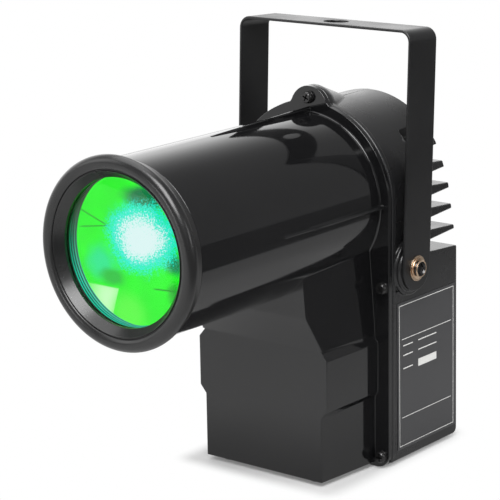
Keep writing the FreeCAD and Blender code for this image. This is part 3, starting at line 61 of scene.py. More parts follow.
LENS_LOW, LENS_HIGH = span("lens")
LABEL_LOW, LABEL_HIGH = span("rating_label")
SNOOT_HIGH = span("snoot")[1]
FLANGE_MARGIN, FLANGE_THICK = 5.9, 3.0
AXIS_Z = (LENS_LOW.z + LENS_HIGH.z) / 2
TUBE_RADIUS = SNOOT_HIGH.x - FLANGE_MARGIN
FLANGE_FACE = SNOOT_HIGH.y - FLANGE_THICK
PIVOT = Vector(next(joint["pos_m"] for joint in frame["record"]["behaviour"]["joints"]
                    if joint["name"] == "yoke_tilt")) / MM


# Nodes of materials


def linear(code):
    """A colour written as sRGB hex, as the linear values that the shaders take."""
    channels = [int(code[i:i + 2], 16) / 255 for i in (1, 3, 5)]
    return tuple(c / 12.92 if c <= 0.04045 else ((c + 0.055) / 1.055) ** 2.4
                 for c in channels) + (1.0,)


def add(tree, kind, links=(), **settings):
    """Adds a node. Names of its inputs are given in links, with a value or another's output."""
    item = tree.nodes.new(kind)
    for name, value in settings.items():
        setattr(item, name, value)
    for key, value in dict(links).items():
        if isinstance(value, bpy.types.NodeSocket):
            tree.links.new(value, item.inputs[key])
        else:
            item.inputs[key].default_value = value
    return item


def new_material(name):
    """An empty material, its tree, and the piece's own coordinates in metres."""
    material = bpy.data.materials.new(name)
    material.use_nodes = True
    tree = material.node_tree
    tree.nodes.clear()
    place = add(tree, "ShaderNodeTexCoord").outputs["Object"]
    return material, tree, place


def sums(tree, operation, first, second=0.0, third=0.0):
    """One step of arithmetic."""
    return add(tree, "ShaderNodeMath", {0: first, 1: second, 2: third},
               operation=operation).outputs[0]


def in_mm(tree, place, axes):
    """The named coordinates of a place, in millimetres."""
    parts = add(tree, "ShaderNodeSeparateXYZ", {"Vector": place}).outputs
    return [sums(tree, "DIVIDE", parts[axis], MM) for axis in axes]


def gap(tree, value, mark):
    """How far a value is from a mark, on either side."""
    return sums(tree, "ABSOLUTE", sums(tree, "SUBTRACT", value, mark))


def diagonal(tree, side, rise):
    """Length of the straight way over a side and a rise."""
    return sums(tree, "SQRT", sums(tree, "ADD", sums(tree, "MULTIPLY", side, side),
                                   sums(tree, "MULTIPLY", rise, rise)))


def ramp(tree, value, start, end, low=0.0, high=1.0):
    """A smooth step of a value between two marks."""
    return add(tree, "ShaderNodeMapRange", {"Value": value, "From Min": start, "From Max": end,
                                            "To Min": low, "To Max": high},
               interpolation_type="SMOOTHSTEP").outputs["Result"]


def blend(tree, factor, first, second):
    """A colour between the first, at factor 0, and the second, at factor 1."""
    return add(tree, "ShaderNodeMix", {"Factor": factor, "A": first, "B": second},
               data_type="RGBA").outputs["Result"]


def noise(tree, place, size, detail=2.0):
    """Soft noise around 0.5, with cells of a size in millimetres."""
    return add(tree, "ShaderNodeTexNoise", {"Vector": place, "Scale": 1 / (size * MM),
                                            "Detail": detail}).outputs["Fac"]


def bumps(tree, height, depth):
    """Relief of a surface, with a depth in millimetres."""
    return add(tree, "ShaderNodeBump", {"Height": height, "Distance": depth * MM,
                                        "Strength": 1.0}).outputs["Normal"]


def finish_with(tree, shader):
    """Links the last shader to the material's output."""
    add(tree, "ShaderNodeOutputMaterial", {"Surface": shader.outputs[0]})


def finished(material, tree, links):
    """The material, ended with a principled surface that takes the links."""
    finish_with(tree, add(tree, "ShaderNodeBsdfPrincipled", links))
    return material


def coated(name, dark, light, rough, patch, grain, depth, **sockets):
    """An opaque finish whose colour drifts between two shades over patches, with a grain in mm."""
    material, tree, place = new_material(name)
    drift = noise(tree, place, patch, 3.0)
    return finished(material, tree, {
        "Base Color": blend(tree, drift, linear(dark), linear(light)),
        "Roughness": ramp(tree, drift, 0.3, 0.7, *rough),
        "Normal": bumps(tree, noise(tree, place, grain), depth)} | sockets)


# Materials


def polished_abs():
    """Black ABS from a polished mould: mirror gloss over a body colour that is nearly black."""
    return coated("polished_abs", "#0d0d0e", "#121213", (0.05, 0.10), 45.0, 9.0, 0.0025, IOR=1.53)


def satin_abs():
    """The same ABS from a spark-eroded mould: a fine sparkle on a dark satin surface."""
    return coated("satin_abs", "#121213", "#191919", (0.26, 0.33), 25.0, 0.6, 0.010, IOR=1.53)


def powder_coat():
    """Semi-matt powder coat on the steel yoke: dark, with a fine orange peel."""
    return coated("powder_coat", "#111112", "#161617", (0.32, 0.40), 30.0, 1.2, 0.010, IOR=1.5)


def cast_paint():
    """Satin paint over die-cast metal, duller than the moulded parts."""
    return coated("cast_paint", "#161617", "#1d1d1e", (0.24, 0.32), 30.0, 1.8, 0.010, IOR=1.5)


def black_oxide():
    """Black oxide on machine screws: dark metal with a short glint."""
    return coated("black_oxide", "#333334", "#4c4b4b", (0.16, 0.26), 3.0, 0.5, 0.006,
                  Metallic=0.85)


def chromated_steel():
    """Yellow-chromated steel of the pivot bolts: a warm metal, worn to a satin shine."""
    return coated("chromated_steel", "#d8bca0", "#e8d0b6", (0.24, 0.34), 2.5, 0.6, 0.006,
                  Metallic=1.0)


def zinc_plate():
    """Bright zinc on the latch, the mains blades, the small heat sink and inner screws."""
    return coated("zinc_plate", "#9d9c98", "#b9b8b4", (0.22, 0.38), 3.0, 0.4, 0.006, Metallic=1.0)


def contact_plate():
    """Gold-toned plating on contact pins and posts."""
    return coated("contact_plate", "#b08d4a", "#cbb070", (0.15, 0.25), 3.0, 0.4, 0.003,
                  Metallic=1.0)


def matt_nylon():
    """Moulded nylon of sockets and holders: matt black with a fine etch."""
    return coated("matt_nylon", "#121213", "#1a1a1b", (0.42, 0.55), 12.0, 0.7, 0.012, IOR=1.52)


def moulded_rubber():
    """Rubber of feet, buttons, gasket and leads: matt, slightly dusty."""
    return coated("moulded_rubber", "#111111", "#1a1a19", (0.6, 0.75), 6.0, 0.6, 0.02, IOR=1.5)


def board_resin():
    """Green solder mask over glass-filled board."""
    return coated("board_resin", "#0e3d22", "#17512f", (0.25, 0.4), 6.0, 1.5, 0.02, IOR=1.5)


def white_mask():
    """White solder mask of the light engine's board."""
    return coated("white_mask", "#d9dad6", "#e6e7e4", (0.35, 0.45), 6.0, 1.5, 0.01, IOR=1.5)


def painted_glow_nylon():
    """Black moulding of the light tunnel, with a painted teal glow from its own emission that
    stands in for the screen's light on it, most of all low down.
    """
    material, tree, place = new_material("painted_glow_nylon")
    along, upward = in_mm(tree, place, "YZ")
    rise = sums(tree, "SUBTRACT", upward, AXIS_Z)
    # Painted light: emission colour, teal low down and green higher up, standing in for the
    # screen's light falling on the wall
    painted_teal_glow = blend(tree, ramp(tree, rise, -30.0, 24.0), linear("#04d2ae"), linear("#046418"))
    step_pitch = 2.4
    step = sums(tree, "SINE", sums(tree, "MULTIPLY", along, 2 * math.pi / step_pitch))
    bands = sums(tree, "ADD", step, noise(tree, place, 9.0))
    stepped = ramp(tree, bands, -0.2, 1.1, 0.06, 1.0)
    dimmed = ramp(tree, rise, -22.0, 26.0, 1.0, 0.45)
    return finished(material, tree, {
        "Base Color": linear("#060807"), "Roughness": 0.4, "Specular IOR Level": 0.0,
        "Emission Color": painted_teal_glow, "Emission Strength": sums(tree, "MULTIPLY", stepped, dimmed)})


def label_film():
    """Satin polyester label: charcoal film with a pale frame, rules, short bars and one field."""
    material, tree, place = new_material("label_film")
    along, upward = in_mm(tree, place, "YZ")

    def patch(y_middle, y_half, z_middle, z_half):
        """1 inside a printed rectangle, with an edge as soft as screen ink."""
        edge = 0.05
        inside_y = sums(tree, "SUBTRACT", y_half, gap(tree, along, y_middle))
        inside_z = sums(tree, "SUBTRACT", z_half, gap(tree, upward, z_middle))
        return ramp(tree, sums(tree, "MINIMUM", inside_y, inside_z), -edge, edge)

    front, low, top = LABEL_LOW.y, LABEL_LOW.z, LABEL_HIGH.z
    middle, half = (LABEL_LOW + LABEL_HIGH) / 2, (LABEL_HIGH - LABEL_LOW) / 2
    margin, stroke = 1.6, 0.35
    outer, inner = (patch(middle.y, half.y - inset, middle.z, half.z - inset)
                    for inset in (margin, margin + stroke))
    ink = sums(tree, "SUBTRACT", outer, inner)
    rules = [(middle.y, half.y - 4.0, height, 0.18) for height in (low + 18.0, top - 21.0)]
    field_and_bars = [(front + y, y_half, low + z, z_half) for y, y_half, z, z_half in (
        (29.0, 9.0, 46.0, 2.1), (10.0, 4.6, 46.0, 0.3), (10.0, 4.6, 53.5, 0.3),
        (29.0, 9.0, 53.5, 0.3), (29.0, 9.0, 59.0, 0.3), (10.0, 4.6, 59.0, 0.3))]
    for print_area in rules + field_and_bars:
        ink = sums(tree, "MAXIMUM", ink, patch(*print_area))
    film = noise(tree, place, 20.0, 3.0)
    tone = blend(tree, film, linear("#2d2d2f"), linear("#333335"))
    return finished(material, tree, {
        "Base Color": blend(tree, ink, tone, linear("#c9c9c6")),
        "Normal": bumps(tree, noise(tree, place, 0.6), 0.004),
        "Roughness": ramp(tree, film, 0.3, 0.7, 0.28, 0.34), "IOR": 1.55})


def tinted_window():
    """Dark red acrylic over the display: clear enough for lit digits, dark over all else."""
    material, tree, place = new_material("tinted_window")
    tint = blend(tree, noise(tree, place, 15.0), linear("#a8342a"), linear("#b03a30"))
    return finished(material, tree, {
        "Base Color": tint, "Roughness": 0.04, "IOR": 1.2, "Transmission Weight": 1.0})


def lit_segment():
    """Red display segment that is switched on."""
    material, tree, place = new_material("lit_segment")
    tone = blend(tree, noise(tree, place, 0.8), linear("#f02a1c"), linear("#ff4a30"))
    return finished(material, tree, {
        "Base Color": linear("#5a0d08"), "Roughness": 0.4, "Emission Color": tone,
        "Emission Strength": 5.0})


def clear_glass():
    """Polished optical glass with a coating that tames its reflections, and a smear of dust."""
    material, tree, place = new_material("clear_glass")
    haze = ramp(tree, noise(tree, place, 18.0, 3.0), 0.3, 0.9, 0.0, 0.02)
    return finished(material, tree, {
        "Base Color": linear("#fafffb"), "Roughness": haze, "IOR": 1.34,
        "Transmission Weight": 1.0})


def lit_screen():
    """Frosted mixing screen, lit from behind: green field with a painted reflection low on the
    left, teal halo and a white grainy core.
    """
    material, tree, place = new_material("lit_screen")
    across, height = in_mm(tree, place, "XZ")
    upward = sums(tree, "SUBTRACT", height, AXIS_Z)
    core_x, core_z = 2.5, 4.8

    def distance_from(x, z, squeeze=1.0):
        """Distance in mm from a spot beside the core, with the height divided by squeeze."""
        rise = sums(tree, "SUBTRACT", upward, core_z + z)
        return diagonal(tree, sums(tree, "SUBTRACT", across, core_x + x),
                        sums(tree, "DIVIDE", rise, squeeze))

    def stroke(x0, z0, x1, z1, width):
        """1 on a thin straight shadow between two spots beside the core."""
        reach = math.hypot(x1 - x0, z1 - z0)
        way_x, way_z = (x1 - x0) / reach, (z1 - z0) / reach
        from_x = sums(tree, "SUBTRACT", across, core_x + x0)
        from_z = sums(tree, "SUBTRACT", upward, core_z + z0)
        run = sums(tree, "MULTIPLY_ADD", from_x, way_x, sums(tree, "MULTIPLY", from_z, way_z))
        off = sums(tree, "ABSOLUTE", sums(tree, "MULTIPLY_ADD", from_x, -way_z,
                                          sums(tree, "MULTIPLY", from_z, way_x)))
        fade = 4.0
        ends = sums(tree, "MULTIPLY", ramp(tree, run, 0.0, fade),
                    ramp(tree, run, reach, reach - fade))
        return sums(tree, "MULTIPLY", ramp(tree, off, width, width * 0.3), ends)

    def swing(value, width):
        """Noise around 0 that spans a width in millimetres."""
        return sums(tree, "MULTIPLY", sums(tree, "SUBTRACT", value, 0.5), width)

    wander = noise(tree, place, 13.0, 3.0)
    sway = swing(wander, 9.0)
    grit = swing(noise(tree, place, 0.7), 22.0)
    rough_core = sums(tree, "ADD", sums(tree, "ADD", distance_from(0.0, 0.0, 0.80), sway), grit)

    # The green field, with a painted reflection of a soft box as a pale corner low on the left, and
    # a light patch below the core
    field = blend(tree, ramp(tree, wander, 0.3, 0.7), linear("#04f004"), linear("#08fa06"))
    side = ramp(tree, sums(tree, "MULTIPLY_ADD", upward, -0.35, across),
                core_x - 6.5, core_x - 7.5)
    below = ramp(tree, upward, core_z - 26.7, core_z - 25.7, 1.0, 0.0)
    painted_reflection = blend(tree, ramp(tree, distance_from(-21.0, -32.0), 2.0, 18.0),
                  linear("#c8ffc0"), linear("#48f83c"))
    field = blend(tree, sums(tree, "MULTIPLY", side, below), field, painted_reflection)
    low_glow = ramp(tree, distance_from(-9.0, -38.0), 4.0, 15.0)
    field = blend(tree, low_glow, linear("#54fa38"), field)

    # Clouds in it, by place, squeeze and reach, then thin shadows, by their ends and width
    for x, z, squeeze, near, far, tone in (
            (1.5, 20.0, 0.42, 6.0, 17.0, "#007840"), (19.0, -10.5, 0.8, 2.0, 10.0, "#008850"),
            (-25.0, -14.0, 0.9, 3.0, 13.0, "#08e68c"), (-18.5, -21.0, 0.6, 3.0, 10.0, "#04c030"),
            (18.0, -24.0, 1.6, 1.0, 6.0, "#04b418")):
        cloud = sums(tree, "ADD", distance_from(x, z, squeeze), sway)
        field = blend(tree, ramp(tree, cloud, near, far), linear(tone), field)
    for crease in ((-42.0, 11.0, -20.0, 4.0, 0.45), (-40.0, 1.0, -18.0, 4.4, 0.4),
                   (5.0, -23.4, 22.0, -23.0, 0.5)):
        field = blend(tree, stroke(*crease), field, linear("#009a14"))

    glow = blend(tree, ramp(tree, rough_core, 16.5, 23.5), linear("#00eed2"), field)
    glow = blend(tree, ramp(tree, rough_core, 9.0, 15.5), linear("#e0f6f8"), glow)
    return finished(material, tree, {
        "Base Color": linear("#060c07"), "Roughness": 0.6, "Specular IOR Level": 0.0,
        "Emission Color": glow, "Emission Strength": 1.0})


GLOSS = polished_abs()
SATIN = satin_abs()
COAT = powder_coat()
CAST = cast_paint()
OXIDE = black_oxide()
CHROMATED = chromated_steel()
ZINC = zinc_plate()
CONTACT = contact_plate()
NYLON = matt_nylon()
TUNNEL = painted_glow_nylon()
RUBBER = moulded_rubber()
FILM = label_film()
BOARD = board_resin()
MASK = white_mask()
WINDOW = tinted_window()
SEGMENT = lit_segment()
GLASS = clear_glass()
SCREEN = lit_screen()

NODE_FINISH = {
    "snoot": GLOSS, "rim_ring": SATIN, "lens": GLASS, "lens_gasket": RUBBER,
    "lens_spacer": TUNNEL, "mixing_screen": SCREEN, "retaining_ring": NYLON, "led_board": MASK,
    "led_emitter": GLASS, "led_screws": ZINC, "collimator": GLASS, "collimator_holder": NYLON,
    "flange_screws": OXIDE, "flange_washers": OXIDE, "rear_housing": CAST, "yoke": COAT,
    "pivot_bolts": CHROMATED, "pivot_washers": CHROMATED, "friction_washers": NYLON,
    "rear_panel": COAT, "panel_screws": OXIDE, "display_window": WINDOW, "display_module": NYLON,
    "button_menu": RUBBER, "button_down": RUBBER, "button_up": RUBBER, "button_enter": RUBBER,
    "tact_switches": NYLON, "dmx_in": CAST, "dmx_in_pins": CONTACT, "dmx_out": CAST,
    "dmx_out_insert": NYLON, "dmx_latch": ZINC, "socket_screws": OXIDE, "mains_inlet": NYLON,
    "mains_blades": ZINC, "fuse_drawer": NYLON, "fuse": GLASS, "control_board": BOARD,
    "control_parts": NYLON, "power_board": BOARD, "transformer": NYLON, "capacitors": NYLON,
    "regulator_sink": ZINC, "board_posts": CONTACT, "panel_posts": CONTACT, "wiring": RUBBER,
    "rating_label": FILM, "rubber_feet": RUBBER,
}


def give(item, material):
    """Makes a material the only one of an object."""
    item.data.materials.clear()
    item.data.materials.append(material)


for node_name, finish in NODE_FINISH.items():
    give(frame["nodes"][node_name], finish)


# Ways to make a piece


def object_from(name, points, faces, sharp=30.0):
    """A smooth-shaded object from points in mm, with edges above an angle kept sharp."""
    mesh = bpy.data.meshes.new(name)
    mesh.from_pydata([tuple(Vector(point) * MM) for point in points], [], faces)
    mesh.shade_smooth()
    mesh.set_sharp_from_angle(angle=math.radians(sharp))
    item = bpy.data.objects.new(name, mesh)
    bpy.context.collection.objects.link(item)
    return item


def fit(piece, body, nodes, material):
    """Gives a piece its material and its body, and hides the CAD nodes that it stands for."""
    give(piece, material)
    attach(piece, body)
    if nodes:
        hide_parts(*nodes)


def lists_of(form):
    """Points and faces of a bmesh form, which is freed."""
    form.verts.index_update()
    points = [vertex.co.copy() for vertex in form.verts]
    faces = [[vertex.index for vertex in face.verts] for face in form.faces]
    form.free()
    return points, faces


def outward(form):
    """The same, with all faces turned outwards."""
    bmesh.ops.recalc_face_normals(form, faces=form.faces[:])
    return lists_of(form)


def even_shading(piece):
    """Lets the large faces of a piece lead its normals, so that they look flat."""
    piece.modifiers.new("even_shading", "WEIGHTED_NORMAL").keep_sharp = True


def from_forms(name, forms, sharp=30.0):
    """One evenly shaded object from several bmesh forms in millimetres."""
    points, faces = [], []
    for form in forms:
        first = len(points)
        form_points, form_faces = outward(form)
        points.extend(form_points)
        faces.extend([first + index for index in face] for face in form_faces)
    item = object_from(name, points, faces, sharp)
    even_shading(item)
    return item


def soft_edged(name, source, body, material, width, over=28.0):
    """A CAD node's form, rounded to a width in mm where an edge turns by over degrees."""
    seam, flat = 0.003, 0.4
    form = bmesh.new()
    form.from_mesh(frame["nodes"][source].data)
    bmesh.ops.remove_doubles(form, verts=form.verts[:], dist=seam * MM)
    bmesh.ops.dissolve_limit(form, angle_limit=math.radians(flat), verts=form.verts[:],
                             edges=form.edges[:])
    points, faces = lists_of(form)
    piece = object_from(name, [point / MM for point in points], faces)
    bevel = piece.modifiers.new("rounded_edges", "BEVEL")
    bevel.width = width * MM
    bevel.segments = 2
    bevel.limit_method = "ANGLE"
    bevel.angle_limit = math.radians(over)
    bevel.use_clamp_overlap = False
    bevel.miter_outer = "MITER_ARC"
    even_shading(piece)
    fit(piece, body, [source], material)


def neighbours(ring):
    """Each item of a ring with the next one."""
    return zip(ring, ring[1:] + ring[:1])


def wall(form, near, far):
    """Faces between two equal rings of vertices."""
    for (first, second), (fourth, third) in zip(neighbours(near), neighbours(far)):
        form.faces.new((first, second, third, fourth))


def rounded(corners):
    """Points along an outline of (y, radius, rounding) corners, each rounded to its own arc."""
    steps = 5
    outline = []
    for index, (y, radius, rounding) in enumerate(corners):
        corner = Vector((y, radius))
        if rounding == 0:
            outline.append(corner)
            continue
        before = Vector(corners[index - 1][:2]) - corner
        after = Vector(corners[(index + 1) % len(corners)][:2]) - corner
        back = rounding / math.tan(before.angle(after) / 2)
        start = corner + before.normalized() * back
        end = corner + after.normalized() * back
        for step in range(steps + 1):
            share = step / steps
            outline.append(start.lerp(corner, share).lerp(corner.lerp(end, share), share))
    return outline


def turned_form(outline, axis="Y", centre=None, closed=True, turns=160, flats=()):
    """A shape turned about an axis, from (along, radius) points.

    The centre is the axis's place across it, and the light's own axis where none is given.
    Points of the outline whose numbers are in flats are pressed to a hexagon.
    """
    first, second = centre or (0.0, AXIS_Z)
    pole_radius, sixth = 0.001, math.pi / 3
    form = bmesh.new()
    rings = []
    for number, (along, radius) in enumerate(outline):
        ring = []
        for i in range(1 if radius < pole_radius else turns):
            angle = 2 * math.pi * i / turns
            reach = radius
            if number in flats:
                reach /= math.cos((angle + sixth / 2) % sixth - sixth / 2)
            u, v = first + math.sin(angle) * reach, second + math.cos(angle) * reach
            ring.append(form.verts.new((u, along, v) if axis == "Y" else (along, u, v)))
        rings.append(ring)
    for near, far in zip(rings, rings[1:] + rings[:1] if closed else rings[1:]):
        for i in range(turns):
            j = (i + 1) % turns
            corners = []
            for vertex in (near[i % len(near)], near[j % len(near)],
                           far[j % len(far)], far[i % len(far)]):
                if vertex not in corners:
                    corners.append(vertex)
            if len(corners) > 2:
                form.faces.new(corners)
    return form


# The moulded and cast shells, with the small radii that a mould or a press gives their edges

soft_edged("snoot_shell", "snoot", "head", GLOSS, 0.3)
soft_edged("cast_shell", "rear_housing", "head", CAST, 0.7)
soft_edged("bent_yoke", "yoke", "yoke", COAT, 0.45)
soft_edged("panel_sheet", "rear_panel", "head", COAT, 0.3)
soft_edged("pivot_rings", "pivot_washers", "head", CHROMATED, 0.12, 35.0)
soft_edged("inlet_body", "mains_inlet", "head", NYLON, 0.3)
soft_edged("drawer_front", "fuse_drawer", "drawer", NYLON, 0.25)
soft_edged("socket_in_shell", "dmx_in", "head", CAST, 0.25)
soft_edged("socket_out_shell", "dmx_out", "head", CAST, 0.25)
soft_edged("latch_plate", "dmx_latch", "latch", ZINC, 0.15)


# Turned and small pieces


def make_rim():
    """The screwed rim: a plain sleeve, a fat rolled bead with a fine groove, and a flared mouth."""
    bead_y, bead_radius, bead_round, bead_steps = -110.9, 45.6, 4.09, 40
    start, end = math.radians(28), math.radians(226)
    angles = [start + (end - start) * i / bead_steps for i in range(bead_steps + 1)]
    bead = [(bead_y + bead_round * math.cos(angle), bead_radius + bead_round * math.sin(angle))
            for angle in angles]
    seat, bore, thread, rear, groove = -107.6, 38.0, 40.1, -89.9, -103.0
    sleeve = rounded([(seat, bore, 0.0), (seat, thread, 0.0), (rear, thread, 0.0),
                      (rear, 44.1, 0.3), (groove, 44.1, 0.0), (groove, 46.7, 0.25),
                      (-106.0, 47.1, 0.0)])
    mouth = rounded([bead[-1] + (0.0,), (-113.1, 42.4, 0.0), (-113.1, 42.1, 0.0),
                     (-113.9, 41.75, 0.2), (-109.0, bore, 0.35), (seat, bore, 0.0)])
    rim = from_forms("rolled_rim", [turned_form(sleeve + bead[:-1] + mouth[:-1], turns=192)])
    fit(rim, "head", ["rim_ring"], SATIN)


def make_lens():
    """The lens, curved on both faces, with a ground edge."""
    def cap(edge_y, edge_radius, rise):
        """Points of a shallow dome, from its edge to its crown."""
        steps = 30
        big = (edge_radius ** 2 + rise ** 2) / (2 * abs(rise))
        points = []
        for i in range(steps + 1):
            radius = edge_radius * (1 - i / steps)
            height = math.sqrt(big ** 2 - radius ** 2) - (big - abs(rise))
            points.append((edge_y + math.copysign(height, rise), radius))
        return points

    front = cap(-107.55, 37.8, -3.2)
    rear = cap(-104.6, 38.2, 2.2)
    outline = front[::-1] + [(-107.5, 39.9), (-104.65, 39.9)] + rear
    lens = from_forms("polished_lens", [turned_form(outline, closed=False)])
    fit(lens, "head", ["lens"], GLASS)


def make_pivot_bolts():
    """Socket-head bolts: a collar, a waist and a rolled lip round a deep hexagon, with painted
    shade in the hexagon and round the waist.
    """
    outline = [(58.07, 0.0), (58.07, 5.6), (58.2, 5.75), (58.4, 5.65), (58.5, 5.3), (58.55, 4.1),
               (59.0, 3.85), (59.5, 4.3), (59.8, 4.7), (60.15, 4.8), (60.4, 4.6), (60.43, 4.3),
               (60.3, 4.0), (59.3, 3.5), (59.2, 3.0), (58.3, 2.95), (58.2, 0.0)]
    hexagon = (14, 15)
    painted_shade_socket, painted_shade_waist = (3.9, 58.1, 60.2), (4.5, 58.52, 59.4)
    bolts = from_forms("pivot_heads", [
        turned_form([(way * along, radius) for along, radius in outline], "X",
                    (PIVOT.y, PIVOT.z), turns=96, flats=hexagon) for way in (1, -1)], 38.0)
    fit(bolts, "head", ["pivot_bolts"], CHROMATED)
    # Painted shade: faces inside the socket and round the waist take the dark oxide finish
    bolts.data.materials.append(OXIDE)
    for face in bolts.data.polygons:
        middle = face.center / MM
        off_axis = math.hypot(middle.y - PIVOT.y, middle.z - PIVOT.z)
        if any(off_axis < radius and near < abs(middle.x) < far
               for radius, near, far in (painted_shade_socket, painted_shade_waist)):
            face.material_index = 1


def make_rib_crests():
    """Crests of the three ribs that stiffen the tube where it meets the flange."""
    front, sunk, edge = -38.0, 0.6, 0.5
    form = bmesh.new()
    for degrees in (0.0, 90.0, 180.0):
        out_x, out_z = math.cos(math.radians(degrees)), math.sin(math.radians(degrees))
        corners = [form.verts.new((out_x * reach - out_z * across, y,
                                   AXIS_Z + out_z * reach + out_x * across))
                   for y, rise in ((front, 0.4), (FLANGE_FACE + 0.3, 3.2))
                   for reach, half in ((TUBE_RADIUS - sunk, 1.2), (TUBE_RADIUS + rise, 0.6))
                   for across in (-half, half)]
        for loop in ((0, 1, 3, 2), (4, 6, 7, 5), (0, 2, 6, 4), (1, 5, 7, 3), (2, 3, 7, 6),
                     (0, 4, 5, 1)):
            form.faces.new([corners[i] for i in loop])
    crests = from_forms("rib_crests", [form])
    bevel = crests.modifiers.new("rounded_edges", "BEVEL")
    bevel.width = edge * MM
    bevel.segments = 3
    fit(crests, "head", [], GLOSS)


def make_pan_head():
    """A pan head with a cross recess, standing on the XY plane, as the pattern of every screw."""
    size, rise, sides = 2.9, 2.1, 24
    form = bmesh.new()
    rings = [[form.verts.new((math.cos(2 * math.pi * i / sides) * radius * size,
                              math.sin(2 * math.pi * i / sides) * radius * size,
                              height * rise)) for i in range(sides)]
             for radius, height in ((0.98, 0.0), (1.0, 0.12), (1.0, 0.45), (0.93, 0.75),
                                    (0.78, 1.0))]
    for near, far in zip(rings, rings[1:]):
        wall(form, near, far)
    reach, half = size * 0.62, size * 0.13
    recess_share, recess_level = 0.7, 0.4
    cross = [(reach, -half), (reach, half), (half, half), (half, reach), (-half, reach),
             (-half, half), (-reach, half), (-reach, -half), (-half, -half), (-half, -reach),
             (half, -reach), (half, -half)]
    lip = [form.verts.new((x, y, rise)) for x, y in cross]
    recess = [form.verts.new((x * recess_share, y * recess_share, rise * recess_level))
              for x, y in cross]
    lip_edges = [form.edges.new(pair) for pair in neighbours(lip)]
    wall(form, lip, recess)
    form.faces.new(recess)
    crown_edges = [form.edges.get(pair) for pair in neighbours(rings[-1])]
    bmesh.ops.triangle_fill(form, edges=lip_edges + crown_edges, use_beauty=True,
                            normal=(0, 0, 1))
    return object_from("pan_head", *outward(form), 35.0)


def screw_tree(name, screw):
    """Geometry Nodes that set a screw on every point, each turned as its tightening left it."""
    tree = bpy.data.node_groups.new(name, "GeometryNodeTree")
    tree.interface.new_socket("Places", in_out="INPUT", socket_type="NodeSocketGeometry")
    for label, value in (("Size", 1.0), ("Pitch", 0.0)):
        entry = tree.interface.new_socket(label, in_out="INPUT", socket_type="NodeSocketFloat")
        entry.default_value = value
    tree.interface.new_socket("Screws", in_out="OUTPUT", socket_type="NodeSocketGeometry")
    given = add(tree, "NodeGroupInput").outputs
    pattern = add(tree, "GeometryNodeObjectInfo", {"Object": screw})
    turn = add(tree, "FunctionNodeRandomValue", {"Min": 0.0, "Max": math.pi / 2, "Seed": 7},
               data_type="FLOAT")
    turn_value = next(socket for socket in turn.outputs if socket.enabled)
    tilt = add(tree, "ShaderNodeCombineXYZ", {"X": given["Pitch"]})
    stand = add(tree, "FunctionNodeEulerToRotation", {"Euler": tilt.outputs[0]})
    spin = add(tree, "ShaderNodeCombineXYZ", {"Z": turn_value})
    local = add(tree, "FunctionNodeEulerToRotation", {"Euler": spin.outputs[0]})
    whole = add(tree, "FunctionNodeRotateRotation", {
        "Rotation": stand.outputs[0], "Rotate By": local.outputs[0]}, rotation_space="LOCAL")
    spots = add(tree, "GeometryNodeMeshToPoints", {"Mesh": given["Places"]})
    placed = add(tree, "GeometryNodeInstanceOnPoints", {
        "Points": spots.outputs[0], "Instance": pattern.outputs["Geometry"],
        "Rotation": whole.outputs[0], "Scale": given["Size"]})
    real = add(tree, "GeometryNodeRealizeInstances", {"Geometry": placed.outputs[0]})
    coloured = add(tree, "GeometryNodeSetMaterial", {"Geometry": real.outputs[0],
                                                     "Material": OXIDE})
    add(tree, "NodeGroupOutput", {"Screws": coloured.outputs[0]})
    return tree


def set_screws(name, screw, places, pitch, node):
    """Screw heads at places in mm, facing along -Y at a pitch of 90 degrees and +Y at -90."""
    head_scale = 1.14
    tree = screw_tree(name + "_layout", screw)
    carrier = object_from(name + "_places", places, [])
    layout = carrier.modifiers.new("layout", "NODES")
    layout.node_group = tree
    sockets = {item.name: item.identifier for item in tree.interface.items_tree
               if item.item_type == "SOCKET" and item.in_out == "INPUT"}
    layout[sockets["Size"]] = head_scale
    layout[sockets["Pitch"]] = math.radians(pitch)
    seen = carrier.evaluated_get(bpy.context.evaluated_depsgraph_get())
    mesh = bpy.data.meshes.new_from_object(seen)
    mesh.name = name
    bpy.data.objects.remove(carrier)
    heads = bpy.data.objects.new(name, mesh)
    bpy.context.collection.objects.link(heads)
    fit(heads, "head", [node], OXIDE)


def mirrored(places):
    """Places on the right with their mirror images on the left. The middle has none."""
    return [(side * x, y, z) for x, y, z in places for side in ((1, -1) if x else (1,))]


def make_screws():
    """Screw heads of the flange, with their washers, and of the rear panel."""
    pan_head = make_pan_head()
    low, high = span("flange_washers")
    washer_radius = 3.5
    set_screws("flange_pan_heads", pan_head, mirrored([
        (0, low.y, high.z - washer_radius), (48.6, low.y, 102.4),
        (47.9, low.y, low.z + washer_radius)]), 90, "flange_screws")
    soft_edged("flange_rings", "flange_washers", "head", OXIDE, 0.1, 35.0)
    low, high = span("rear_panel")
    corner_x, inset = 43.0, 3.6
    set_screws("panel_pan_heads", pan_head, mirrored([
        (corner_x, high.y, low.z + inset), (corner_x, high.y, high.z - inset)]), -90,
        "panel_screws")
    bpy.data.objects.remove(pan_head)


def make_tube_root():
    """The small cove that the mould leaves where the tube runs into the flange."""
    cove, sunk, steps = 1.1, 0.4, 8
    angles = [math.pi / 2 * i / steps for i in range(steps + 1)]
    arc = [(FLANGE_FACE - cove + cove * math.sin(angle),
            TUBE_RADIUS + cove - cove * math.cos(angle)) for angle in angles]
    outline = arc + [(FLANGE_FACE + sunk, TUBE_RADIUS + cove),
                     (FLANGE_FACE + sunk, TUBE_RADIUS - sunk),
                     (FLANGE_FACE - cove, TUBE_RADIUS - sunk)]
    fit(from_forms("tube_root", [turned_form(outline)]), "head", [], GLOSS)


